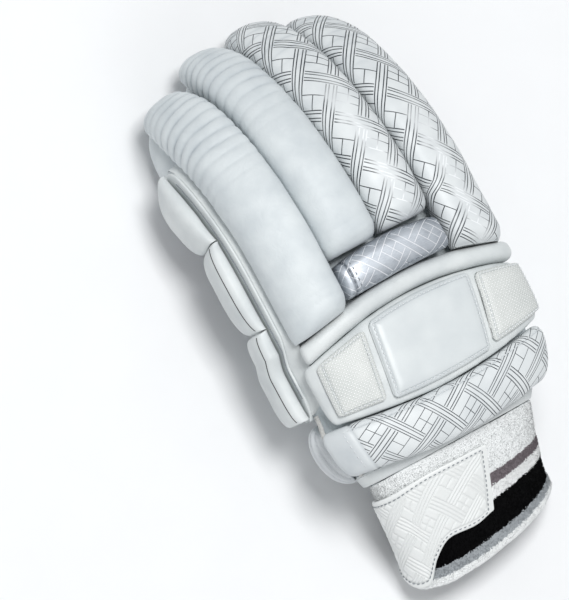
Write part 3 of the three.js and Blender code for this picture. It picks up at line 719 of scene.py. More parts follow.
def shaded(
    tree: bpy.types.NodeTree, tint: bpy.types.Node, colour: Colour | bpy.types.Node, shade: Colour
) -> bpy.types.NodeSocket:
    """Adds the nodes that paint shade into a finish's creases and hollows, from the mesh's painted shade
    attribute.

    Args:
        tree: The material's tree.
        tint: How far the darker colour shows apart from the painted shade, from 0 to 1.
        colour: The finish's colour, or a node that gives it.
        shade: The darker colour, which is also the colour of the painted shade.

    Returns:
        The mixed colour, with the tint and the painted shade added up for its factor.
    """
    painted_shade = add_node(tree, "Attribute", attribute_name=PAINTED_SHADE, attribute_type="GEOMETRY").outputs["Fac"]
    dark = add_node(tree, "Math", {0: tint, 1: painted_shade}, operation="ADD", use_clamp=True)
    return add_node(tree, "Mix", {"Factor": dark, 6: colour, 7: shade}, data_type="RGBA").outputs[2]


@dataclass(frozen=True)
class Lattice:
    """A lattice of crossing ribbons, in the surface's own millimetres.

    Two families of ribbons cross at right angles, each with its own pitch, and pass over and under each other
    in turn. Each edge of a ribbon is a pair of lines, edge and inner away from its middle. The cells between
    the ribbons are split into bricks by single lines, in two ways that take turns. lean is the turn of the
    whole lattice in degrees, and line and fine half the widths of the ribbons' and the bricks' lines.
    """

    pitch: tuple[float, float] = (15.0, 18.5)
    lean: float = 42.0
    edge: float = 2.35
    inner: float = 1.0
    line: float = 0.26
    fine: float = 0.22

    MARGIN = 0.6

    def bricks(self) -> tuple[tuple[int, int, float, float, float], ...]:
        """The single lines: cell's turn, axis, place, and the two ends across it, in millimetres."""
        e = self.edge
        p, q = self.pitch
        return (
            (0, 1, q * 0.42, e, p - e),
            (0, 1, q * 0.66, e, p - e),
            (0, 0, p * 0.5, q * 0.42, q - e),
            (1, 1, q * 0.5, e, p - e),
            (1, 0, p * 0.5, e, q * 0.5),
        )

    def axes(self) -> tuple[tuple[float, float, float], tuple[float, float, float]]:
        """The directions across the two families, over their pitches."""
        c, s = math.cos(math.radians(self.lean)), math.sin(math.radians(self.lean))
        p, q = self.pitch
        return (c / p, s / p, 0.0), (-s / q, c / q, 0.0)

    def mask(self, tree: bpy.types.NodeTree) -> bpy.types.Node:
        """Adds nodes whose output is 1 on a printed line and 0 elsewhere.

        With a and b the distances across the families in pitches, |a - round(a)| is the distance from a
        ribbon's middle and fraction(a) the place in a cell. (round(a) + round(b)) modulo 2 is a crossing's
        turn and (floor(a) + floor(b)) modulo 2 a cell's.
        """
        uv = add_node(tree, "UVMap", uv_map=UV_NAME)
        away, local, numbers = [], [], {"ROUND": [], "FLOOR": []}
        for axis, pitch in zip(self.axes(), self.pitch):
            share = add_node(tree, "VectorMath", {0: uv, 1: axis}, operation="DOT_PRODUCT").outputs["Value"]
            part = add_node(tree, "Math", {0: share}, operation="FRACT")
            local.append(add_node(tree, "Math", {0: part, 1: pitch}, operation="MULTIPLY"))
            near = add_node(tree, "Math", {0: share}, operation="ROUND")
            off = add_node(tree, "Math", {0: share, 1: near}, operation="SUBTRACT")
            size = add_node(tree, "Math", {0: off}, operation="ABSOLUTE")
            away.append(add_node(tree, "Math", {0: size, 1: pitch}, operation="MULTIPLY"))
            for operation, found in numbers.items():
                found.append(add_node(tree, "Math", {0: share}, operation=operation))
        turns = {}
        for operation, found in numbers.items():
            total = add_node(tree, "Math", {0: found[0], 1: found[1]}, operation="ADD")
            half = add_node(tree, "Math", {0: total, 1: 0.5}, operation="MULTIPLY")
            part = add_node(tree, "Math", {0: half}, operation="FRACT")
            odd = add_node(tree, "Math", {0: part, 1: 0.25}, operation="GREATER_THAN")
            turns[operation] = (add_node(tree, "Math", {0: 1.0, 1: odd}, operation="SUBTRACT"), odd)
        lines = []
        for k in (0, 1):
            edge = add_node(tree, "Math", {0: away[k], 1: self.edge, 2: self.line}, operation="COMPARE")
            inner = add_node(tree, "Math", {0: away[k], 1: self.inner, 2: self.line}, operation="COMPARE")
            both = add_node(tree, "Math", {0: edge, 1: inner}, operation="MAXIMUM")
            under = {0: away[1 - k], 1: self.edge + self.MARGIN}
            covered = add_node(tree, "Math", under, operation="LESS_THAN")
            hidden = add_node(tree, "Math", {0: covered, 1: turns["ROUND"][k]}, operation="MULTIPLY")
            shown = add_node(tree, "Math", {0: 1.0, 1: hidden}, operation="SUBTRACT")
            lines.append(add_node(tree, "Math", {0: both, 1: shown}, operation="MULTIPLY"))
        for turn, axis, place, low, high in self.bricks():
            near = add_node(tree, "Math", {0: local[axis], 1: place, 2: self.fine}, operation="COMPARE")
            span = {0: local[1 - axis], 1: (low + high) / 2, 2: (high - low) / 2}
            inside = add_node(tree, "Math", span, operation="COMPARE")
            drawn = add_node(tree, "Math", {0: near, 1: inside}, operation="MULTIPLY")
            lines.append(add_node(tree, "Math", {0: drawn, 1: turns["FLOOR"][turn]}, operation="MULTIPLY"))
        joined = lines[0]
        for line in lines[1:]:
            joined = add_node(tree, "Math", {0: joined, 1: line}, operation="MAXIMUM")
        return joined

    def groove(self, uv: Array, width: float) -> Array:
        """Depth from 0 to 1 of the same lattice pressed into a surface, each line a Gaussian of a width."""
        share = [uv[..., 0] * axis[0] + uv[..., 1] * axis[1] for axis in self.axes()]
        away = [np.abs(a - np.round(a)) * p for a, p in zip(share, self.pitch)]
        local = [(a - np.floor(a)) * p for a, p in zip(share, self.pitch)]
        crossing = (np.round(share[0]) + np.round(share[1])) % 2
        cell = (np.floor(share[0]) + np.floor(share[1])) % 2
        depth = np.zeros(uv.shape[:2])
        for k in (0, 1):
            under = (crossing == k) & (away[1 - k] < self.edge + self.MARGIN)
            for place in (self.edge, self.inner):
                depth = np.maximum(depth, np.where(under, 0.0, dip(away[k] - place, width)))
        for turn, axis, place, low, high in self.bricks():
            inside = (cell == turn) & (local[1 - axis] > low) & (local[1 - axis] < high)
            depth = np.maximum(depth, np.where(inside, dip(local[axis] - place, width), 0.0))
        return depth


@dataclass(frozen=True)
class Leather:
    """Cowhide or coated leather: pale, softly satin, with a fine pebbled grain.

    grain is the width of a pebble in millimetres. The coating gives a broad soft highlight, the grain
    breaks it up, and creases and hollows take painted shade. bare gives the two ends of the print along the
    piece, crest the half width over which the ink is painted pale on a roll's crest as a painted reflection
    of the metallic ink, and comb whether honeycomb is embossed past the print.
    """

    name: str
    colour: str
    shade: str
    # The pale colour painted on the ink as its reflection.
    ink: str = "2b3138"
    foil_glint: str = "f3f6f8"
    dot: str = "fbfcfc"
    roughness: float = 0.46
    grain: float = 0.9
    grain_depth: float = 0.12
    wrinkle: float = 0.0
    printed: Print = Print.NONE
    lattice: Lattice = Lattice()
    bare: tuple[float, float] | None = None
    crest: float = 0.0
    comb: bool = False

    CLOUD = 14.0
    FOLD = 5.0
    # Places along the roll past which the ink is painted pale all over.
    PALE_INK_RUN = (55.0, 78.0)
    DOTS_TO_MM = 0.72

    def build(self) -> bpy.types.Material:
        """Makes the material: random tint and painted shade in creases, grain and wrinkle bump, and any
        print.
        """
        material, tree, shader = start_material(self.name)
        place = add_node(tree, "TexCoord").outputs["Object"]
        cloudy = add_node(tree, "TexNoise", {"Vector": place, "Scale": 1 / (self.CLOUD * MM), "Detail": 3.0})
        faint = {"Value": cloudy, "From Min": 0.35, "From Max": 0.75, "To Max": 0.35}
        tint = add_node(tree, "MapRange", faint)
        # The shade colour comes in by a random cloudy tint and by the painted shade of creases and hollows.
        colour = shaded(tree, tint, linear(self.colour), linear(self.shade))
        pebbles = add_node(tree, "TexVoronoi", {"Vector": place, "Scale": 1 / (self.grain * MM)})
        pores = {"Vector": place, "Scale": 1 / (0.45 * self.grain * MM), "Detail": 2.0}
        fine = add_node(tree, "TexNoise", pores)
        grain = add_node(tree, "Math", {0: pebbles.outputs["Distance"], 1: fine}, operation="ADD")
        pebbled = {"Height": grain, "Strength": self.grain_depth, "Distance": 0.3 * MM}
        bump = add_node(tree, "Bump", pebbled)
        if self.wrinkle:
            creased = {"Vector": place, "Scale": 1 / (self.FOLD * MM), "Detail": 6.0, "Distortion": 1.2}
            folds = add_node(tree, "TexNoise", creased)
            folded = {"Height": folds, "Strength": self.wrinkle, "Distance": 1.2 * MM, "Normal": bump}
            bump = add_node(tree, "Bump", folded)
        if self.printed is Print.LATTICE:
            colour, bump = self.print_lattice(tree, colour, bump)
        elif self.printed is Print.DOTS:
            colour, bump = self.print_dots(tree, colour, bump)
        worn = {"Value": cloudy, "To Min": self.roughness - 0.05, "To Max": self.roughness + 0.07}
        rough = add_node(tree, "MapRange", worn)
        feed(tree, shader, {"Base Color": colour, "Roughness": rough, "Normal": bump, "IOR": 1.47})
        return material

    def print_lattice(
        self, tree: bpy.types.NodeTree, colour: bpy.types.NodeSocket, bump: bpy.types.Node
    ) -> tuple[bpy.types.NodeSocket, bpy.types.Node]:
        """Adds the lattice print, whose ink is uneven; on a roll its lines are painted pale over the crest as
        a painted reflection of the metallic ink, and pale all over past PALE_INK_RUN along the roll.

        Args:
            tree: The material's tree.
            colour: The leather's colour.
            bump: Its bump so far.

        Returns:
            The colour and the bump with the print on them.
        """
        uv = add_node(tree, "UVMap", uv_map=UV_NAME)
        across, run = add_node(tree, "SeparateXYZ", {0: uv}).outputs[:2]
        mask = self.lattice.mask(tree)
        if self.bare:
            above = add_node(tree, "Math", {0: run, 1: self.bare[0]}, operation="GREATER_THAN")
            below = add_node(tree, "Math", {0: run, 1: self.bare[1]}, operation="LESS_THAN")
            inside = add_node(tree, "Math", {0: above, 1: below}, operation="MULTIPLY")
            mask = add_node(tree, "Math", {0: mask, 1: inside}, operation="MULTIPLY")
        worn = add_node(tree, "TexNoise", {"Vector": uv, "Scale": 0.11, "Detail": 2.0})
        uneven = {"Value": worn, "From Min": 0.3, "From Max": 0.6, "To Min": 0.8}
        strength = add_node(tree, "MapRange", uneven)
        tint = linear(self.ink)
        # Painted reflection: the lines take the pale foil_glint colour over the roll's crest, with an edge
        # that wanders with the ink's noise, and past PALE_INK_RUN along the roll.
        if self.crest:
            side = add_node(tree, "Math", {0: across}, operation="ABSOLUTE")
            wavy = {0: worn, 1: -2.2 * self.crest, 2: side}
            wander = add_node(tree, "Math", wavy, operation="MULTIPLY_ADD")
            shine = {"Value": wander, "From Min": -0.9 * self.crest, "From Max": 0.1 * self.crest}
            crest_glint = add_node(tree, "MapRange", shine)
            near, beyond = self.PALE_INK_RUN
            far = add_node(tree, "MapRange", {"Value": run, "From Min": near, "From Max": beyond})
            full = add_node(tree, "Math", {0: crest_glint, 1: far}, operation="MAXIMUM")
            foil_glint = {"Factor": full, 6: linear(self.foil_glint), 7: tint}
            tint = add_node(tree, "Mix", foil_glint, data_type="RGBA").outputs[2]
        ink = add_node(tree, "Math", {0: mask, 1: strength}, operation="MULTIPLY")
        mixed = add_node(tree, "Mix", {"Factor": ink, 6: colour, 7: tint}, data_type="RGBA")
        if self.comb:
            past = add_node(tree, "Math", {0: run, 1: self.bare[1] + 1}, operation="GREATER_THAN")
            bump = self.honeycomb(tree, uv, bump, past)
        return mixed.outputs[2], bump

    def print_dots(
        self, tree: bpy.types.NodeTree, colour: bpy.types.NodeSocket, bump: bpy.types.Node
    ) -> tuple[bpy.types.NodeSocket, bpy.types.Node]:
        """Adds small raised white dots in slanted rows.

        Args:
            tree: The material's tree.
            colour: The leather's colour.
            bump: Its bump so far.

        Returns:
            The colour and the bump with the dots on them.
        """
        uv = add_node(tree, "UVMap", uv_map=UV_NAME)
        slanted = {"Vector": uv, "Rotation": (0.0, 0.0, math.pi / 4), "Scale": (self.DOTS_TO_MM,) * 3}
        turned = add_node(tree, "Mapping", slanted)
        rows = {"Vector": turned, "Scale": 1.0, "Randomness": 0.0}
        grid = add_node(tree, "TexVoronoi", rows, voronoi_dimensions="2D")
        falls = {"From Min": 0.2, "From Max": 0.3, "To Min": 1.0, "To Max": 0.0}
        dot = add_node(tree, "MapRange", {"Value": grid.outputs["Distance"], **falls})
        mixed = add_node(tree, "Mix", {"Factor": dot, 6: colour, 7: linear(self.dot)}, data_type="RGBA")
        knob = {"Height": dot, "Strength": 0.8, "Distance": 0.35 * MM, "Normal": bump}
        return mixed.outputs[2], add_node(tree, "Bump", knob)

    def honeycomb(
        self, tree: bpy.types.NodeTree, uv: bpy.types.Node, bump: bpy.types.Node, where: bpy.types.Node
    ) -> bpy.types.Node:
        """Embosses hexagons where a mask is 1: the sum of three cosines, 60 degrees apart."""
        waves = []
        for turn in (0.0, math.pi / 3, 2 * math.pi / 3):
            axis = (math.cos(turn) / 0.9, math.sin(turn) / 0.9, 0.0)
            run = add_node(tree, "VectorMath", {0: uv, 1: axis}, operation="DOT_PRODUCT")
            waves.append(add_node(tree, "Math", {0: run.outputs["Value"]}, operation="COSINE"))
        pair = add_node(tree, "Math", {0: waves[0], 1: waves[1]}, operation="ADD")
        cells = add_node(tree, "Math", {0: pair, 1: waves[2]}, operation="ADD")
        comb = add_node(tree, "MapRange", {"Value": cells, "From Min": -1.5, "From Max": -0.6})
        kept = add_node(tree, "Math", {0: comb, 1: where}, operation="MULTIPLY")
        pressed = {"Height": kept, "Strength": 0.55, "Distance": 0.5 * MM, "Normal": bump}
        return add_node(tree, "Bump", pressed)


@dataclass(frozen=True)
class SilverLeather:
    """Foil-coated leather, silver-grey: part metal, brushed across, with a paler pressed lattice."""

    name: str = "foil_coated_leather"
    colour: str = "cdd3da"
    shade: str = "7b828c"
    line: str = "eef0f4"
    cloud: float = 7.0
    lattice: Lattice = Lattice(pitch=(12.5, 15.5), lean=38.0, edge=1.5, inner=1.5, line=0.2, fine=0.16)

    def build(self) -> bpy.types.Material:
        """Makes the material: streaks along the guard, cloudy tint, painted shade from the mesh and the
        pressed lattice.
        """
        material, tree, shader = start_material(self.name)
        place = add_node(tree, "TexCoord").outputs["Object"]
        uv = add_node(tree, "UVMap", uv_map=UV_NAME)
        stretched = add_node(tree, "Mapping", {"Vector": uv, "Scale": (3.2, 0.35, 1.0)})
        streak = add_node(tree, "TexNoise", {"Vector": stretched, "Scale": 1.0, "Detail": 4.0})
        cloud = add_node(tree, "TexNoise", {"Vector": place, "Scale": 1 / (self.cloud * MM), "Detail": 3.0})
        blend = add_node(tree, "Math", {0: streak, 1: cloud}, operation="MULTIPLY")
        faint = {"Value": blend, "From Min": 0.15, "From Max": 0.45, "To Max": 0.45}
        tint = add_node(tree, "MapRange", faint)
        # The shade colour comes in by the cloudy tint and by the painted shade that the guard's mesh carries.
        base = shaded(tree, tint, linear(self.colour), linear(self.shade))
        mask = self.lattice.mask(tree)
        lined = add_node(tree, "Mix", {"Factor": mask, 6: base, 7: linear(self.line)}, data_type="RGBA")
        rough = add_node(tree, "MapRange", {"Value": streak, "To Min": 0.3, "To Max": 0.52})
        fine = add_node(tree, "Bump", {"Height": streak, "Strength": 0.25, "Distance": 0.2 * MM})
        pressed = {"Height": mask, "Strength": 0.5, "Distance": 0.3 * MM, "Normal": fine}
        raised = add_node(tree, "Bump", pressed)
        surface = {"Base Color": lined.outputs[2], "Roughness": rough, "Normal": raised, "Metallic": 0.4}
        feed(tree, shader, surface)
        return material


@dataclass(frozen=True)
class Knit:
    """Polyester rib or mesh knit: lilac white, matt, with fine loops and staggered holes.

    loop is a loop's width and hole the distance between holes, in millimetres. Real loops are finer than a
    render shows, so they are drawn larger. holes is 1 on a mesh and 0 on a close knit.
    """

    name: str
    colour: str = "dcd6dc"
    shade: str = "9d96a1"
    loop: float = 1.3
    hole: float = 2.5
    holes: float = 1.0

    def build(self) -> bpy.types.Material:
        """Makes the material: loop bump, holes painted dark as the shade inside them, and painted shade in
        the folds.
        """
        material, tree, shader = start_material(self.name)
        uv = add_node(tree, "UVMap", uv_map=UV_NAME)
        split = add_node(tree, "SeparateXYZ", {0: uv})
        waves = []
        for socket, size in zip(split.outputs, (self.loop, self.loop * 0.8)):
            run = add_node(tree, "Math", {0: socket, 1: 2 * math.pi / size}, operation="MULTIPLY")
            waves.append(add_node(tree, "Math", {0: run}, operation="SINE"))
        loops = add_node(tree, "Math", {0: waves[0], 1: waves[1]}, operation="MULTIPLY")
        slanted = {"Vector": uv, "Rotation": (0.0, 0.0, math.pi / 4), "Scale": (1 / self.hole,) * 3}
        turned = add_node(tree, "Mapping", slanted)
        rows = {"Vector": turned, "Scale": 1.0, "Randomness": 0.15}
        grid = add_node(tree, "TexVoronoi", rows, voronoi_dimensions="2D")
        falls = {"From Min": 0.17, "From Max": 0.27, "To Min": self.holes, "To Max": 0.0}
        hole = add_node(tree, "MapRange", {"Value": grid.outputs["Distance"], **falls})
        # Painted shade: the holes take the shade colour as the shade inside them, and so do the folds where
        # the mesh carries painted shade.
        tone = shaded(tree, hole, linear(self.colour), linear(self.shade))
        low = add_node(tree, "Math", {0: hole, 1: -3.0}, operation="MULTIPLY")
        height = add_node(tree, "Math", {0: loops, 1: low}, operation="ADD")
        bump = add_node(tree, "Bump", {"Height": height, "Strength": 0.5, "Distance": 0.3 * MM})
        feed(tree, shader, {"Base Color": tone, "Normal": bump, "Roughness": 0.92, "Sheen Weight": 0.25})
        return material


@dataclass(frozen=True)
class Towelling:
    """Cotton terry towelling: white loops with dyed bands, matt, with painted shade between the loops.

    The bands are shares of the cuff's length from the wrist, and length is the cuff's along its slope. blur
    is how far the loops shift a band's edge, and loop a loop's width, in millimetres.
    """

    name: str = "terry_towelling"
    length: float = 56.0
    blur: float = 0.8
    loop: float = 0.8
    bands: tuple[tuple[float, str], ...] = (
        (0.0, "f6f8f8"),
        (0.39, "7a7276"),
        (0.485, "f8f9f9"),
        (0.595, "060607"),
        (0.86, "a9aeb2"),
        (0.935, "f6f8f8"),
    )

    def build(self) -> bpy.types.Material:
        """Makes the material: stepped bands whose edges are broken up by the loops, and painted shade between
        the loops and in the pile's hollows.
        """
        material, tree, shader = start_material(self.name)
        uv = add_node(tree, "UVMap", uv_map=UV_NAME)
        place = add_node(tree, "TexCoord").outputs["Object"]
        v = add_node(tree, "SeparateXYZ", {0: uv}).outputs[1]
        rough_edge = add_node(tree, "TexNoise", {"Vector": place, "Scale": 1 / (0.9 * MM), "Detail": 1.0})
        spread = {"From Min": 0.2, "From Max": 0.8, "To Min": -self.blur, "To Max": self.blur}
        shift = add_node(tree, "MapRange", {"Value": rough_edge, **spread})
        moved = add_node(tree, "Math", {0: v, 1: shift}, operation="ADD")
        share = add_node(tree, "Math", {0: moved, 1: self.length}, operation="DIVIDE")
        ramp = add_node(tree, "ValToRGB", {0: share})
        ramp.color_ramp.interpolation = "CONSTANT"
        for k, (start, colour) in enumerate(self.bands):
            stop = ramp.color_ramp.elements[k] if k < 2 else ramp.color_ramp.elements.new(start)
            stop.position = start
            stop.color = linear(colour)
        loops = add_node(tree, "TexVoronoi", {"Vector": place, "Scale": 1 / (self.loop * MM)})
        between = loops.outputs["Distance"]
        # Painted shade: the colour darkens towards black between the loops, and where the mesh carries
        # painted shade.
        darker = {"Value": between, "From Min": 0.35, "From Max": 0.95, "To Max": 0.1}
        loop_gap_shade = add_node(tree, "MapRange", darker)
        deep = shaded(tree, loop_gap_shade, ramp, (0.0, 0.0, 0.0, 1.0))
        tufts = {"Height": between, "Strength": 0.6, "Distance": 0.6 * MM}
        bump = add_node(tree, "Bump", tufts, invert=True)
        surface = {"Base Color": deep, "Normal": bump, "Roughness": 0.97, "Specular IOR Level": 0.1}
        feed(tree, shader, surface)
        return material


@dataclass(frozen=True)
class Plain:
    """A plain moulded, spun or sewn finish: one colour with a fine speckle that breaks up its highlight.

    speckle is the width of a spot in millimetres, depth the strength of its bump and mottle of its tone.
    """

    name: str
    colour: str
    shade: str
    roughness: float
    speckle: float = 0.6
    depth: float = 0.15
    mottle: float = 0.5

    def build(self) -> bpy.types.Material:
        """Makes the material: a speckle of the given width in its tone and bump, and painted shade where the
        mesh carries it.
        """
        material, tree, shader = start_material(self.name)
        place = add_node(tree, "TexCoord").outputs["Object"]
        spots = {"Vector": place, "Scale": 1 / (self.speckle * MM), "Detail": 3.0}
        noise = add_node(tree, "TexNoise", spots)
        faint = {"Value": noise, "From Min": 0.35, "From Max": 0.7, "To Max": self.mottle}
        tone = shaded(tree, add_node(tree, "MapRange", faint), linear(self.colour), linear(self.shade))
        bump = add_node(tree, "Bump", {"Height": noise, "Strength": self.depth, "Distance": 0.3 * MM})
        feed(tree, shader, {"Base Color": tone, "Normal": bump, "Roughness": self.roughness})
        return material


class Finishes:
    """All the glove's materials, made once."""

    def __init__(self) -> None:
        """Builds each finish."""
        white = {"colour": "d9dfe1", "shade": "a3adb4"}
        lattice = {"colour": "e3e7e8", "shade": "b3babf", "printed": Print.LATTICE}
        wrist = Lattice(pitch=(15.4, 15.8), lean=-55.0, edge=2.2, inner=0.95, line=0.2, fine=0.16)
        dots = {"printed": Print.DOTS, "roughness": 0.55}
        pearl = {"roughness": 0.36, "grain_depth": 0.06}
        soft = {"roughness": 0.62, "grain": 0.7, "grain_depth": 0.2, "wrinkle": 0.6}
        self.white = Leather("satin_coated_leather", "dde1e1", "a9b1b5", wrinkle=0.12).build()
        self.rolls = Leather("soft_roll_leather", **white, roughness=0.5, wrinkle=0.18).build()
        self.printed = Leather("printed_roll_leather", **lattice, crest=5.5).build()
        self.wrist = Leather("printed_wrist_leather", **lattice, lattice=wrist, bare=(18.0, 400.0)).build()
        self.thumb_tip = Leather("printed_thumb_tip_leather", **lattice, bare=(-1.0, 26.0), comb=True).build()
        self.thumb_heel = Leather("printed_thumb_heel_leather", **lattice, bare=(24.0, 90.0)).build()
        self.dotted = Leather("dotted_panel_leather", "dcdfdc", "b9c0be", **dots).build()
        self.centre = Leather("pearl_panel_leather", "d9dedf", "b9c0c4", **pearl).build()
        self.band = Leather("bluish_band_leather", "d6dfe8", "a9b5c2", roughness=0.42, wrinkle=0.15).build()
        self.palm = Leather("soft_tanned_palm_leather", "d5dde0", "9fabb1", **soft).build()
        self.silver = SilverLeather().build()
        self.knit = Knit("mesh_knit").build()
        self.rib = Knit("ribbed_elastic_knit", "dde1e4", "979da3", loop=1.1, holes=0.0).build()
        self.towel = Towelling().build()
        self.strap = Plain("embossed_soft_plastic", "eef0ef", "9ea3a3", 0.4, 1.2, 0.05, 0.05).build()
        self.thread = Plain("polyester_thread", "e8ebec", "b9bec2", 0.7).build()
        self.grey_thread = Plain("grey_polyester_thread", "8d9399", "60656b", 0.7).build()
        self.hem = Plain("raw_edge_binding", "cbcbc8", "a2a29f", 0.9, 1.0, 0.5).build()
        self.black = Plain("black_piping_plastic", "16171a", "08090a", 0.45).build()


@dataclass
class Stitching:
    """Rows of sewn stitches: short threads that dive into the leather at both ends."""

    pitch: float = 3.1
    length: float = 2.2
    radius: float = 0.3
    sides: int = 6

    def row(self, parts: Parts, path: Array, out: Array) -> None:
        """Adds one row along a path.

        Each stitch is a tube along the path whose middle line is a parabola that sinks by 1.5 radii at both
        ends, with a radius that follows a superellipse.

        Args:
            parts: Where the stitches go.
            path: Points along the seam, in millimetres.
            out: The surface's unit normals at those points.
        """
        run = running(np.linalg.norm(np.diff(path, axis=0), axis=-1))
        count = max(int(run[-1] / self.pitch), 1)
        centres = (np.arange(count) + 0.5) * run[-1] / count
        t = np.linspace(-0.5, 0.5, 5)
        at = centres[:, None] + t[None, :] * self.length
        middle = np.stack([np.interp(at, run, path[:, k]) for k in range(3)], axis=-1)
        normal = unit(np.stack([np.interp(at, run, out[:, k]) for k in range(3)], axis=-1))
        forward = unit(middle[:, -1:] - middle[:, :1])
        side = np.cross(np.broadcast_to(forward, normal.shape), normal)
        lift = self.radius * (0.5 - 1.5 * (2 * t) ** 2)
        thick = self.radius * (1 - 0.6 * (2 * t) ** 4)
        angle = angles(self.sides)[:-1]
        ring = (
            (middle + normal * lift[None, :, None])[:, :, None, :]
            + side[:, :, None, :] * (thick[None, :, None] * np.cos(angle))[..., None]
            + normal[:, :, None, :] * (thick[None, :, None] * np.sin(angle))[..., None]
        )
        n, k = self.sides, len(t)
        number = np.arange(k * n).reshape(k, n)
        wrapped = np.concatenate([number, number[:, :1]], axis=1)
        quads = np.stack([wrapped[:-1, :-1], wrapped[1:, :-1], wrapped[1:, 1:], wrapped[:-1, 1:]], axis=-1)
        faces = quads.reshape(-1, 4).tolist() + [number[0].tolist(), number[-1][::-1].tolist()]
        corners = sum(len(f) for f in faces)
        volume_sign = 1.0 if self.turns_out(ring[0].reshape(-1, 3), faces) else -1.0
        for stitch in ring.reshape(count, -1, 3):
            parts.add(stitch, faces, np.zeros((corners, 2)), np.zeros(len(stitch)), volume_sign)

    @staticmethod
    def turns_out(vertices: Array, faces: list) -> bool:
        """Whether the faces of a closed shape point out: the sign of its volume as a sum of fans."""
        p = vertices - vertices.mean(axis=0)
        total = 0.0
        for f in faces:
            for i in range(1, len(f) - 1):
                total += float(np.dot(p[f[0]], np.cross(p[f[i]], p[f[i + 1]])))
        return total > 0


def tube_skin(path: Array, radius: Array, out: Array, columns: int = 10, flat: float = 1.0) -> Skin:
    """A tube along a path.

    Args:
        path: Points along its middle, in millimetres.
        radius: Its half width at each point, along the surface.
        out: The direction away from the surface at each point.
        columns: Sides of its section.
        flat: Its height over its width.

    Returns:
        A skin with a superellipse section.
    """
    forward = unit(np.gradient(path, axis=0))
    side = unit(np.cross(forward, out))
    up = np.cross(side, forward)
    angle = angles(columns)
    radius = np.broadcast_to(np.asarray(radius, float), (len(path),)).copy()
    points = (
        path[:, None]
        + side[:, None] * (radius[:, None] * np.cos(angle))[..., None]
        + up[:, None] * (flat * radius[:, None] * np.sin(angle))[..., None]
    )
    return Skin(points)


@dataclass
class Maker:
    """What each part of the glove is made with, and the seeded noise that roughens its surfaces."""

    shop: Workshop
    finishes: Finishes

    SEED = 0

    def __post_init__(self) -> None:
        """Makes the part's noise."""
        self.noise = Noise(self.SEED)


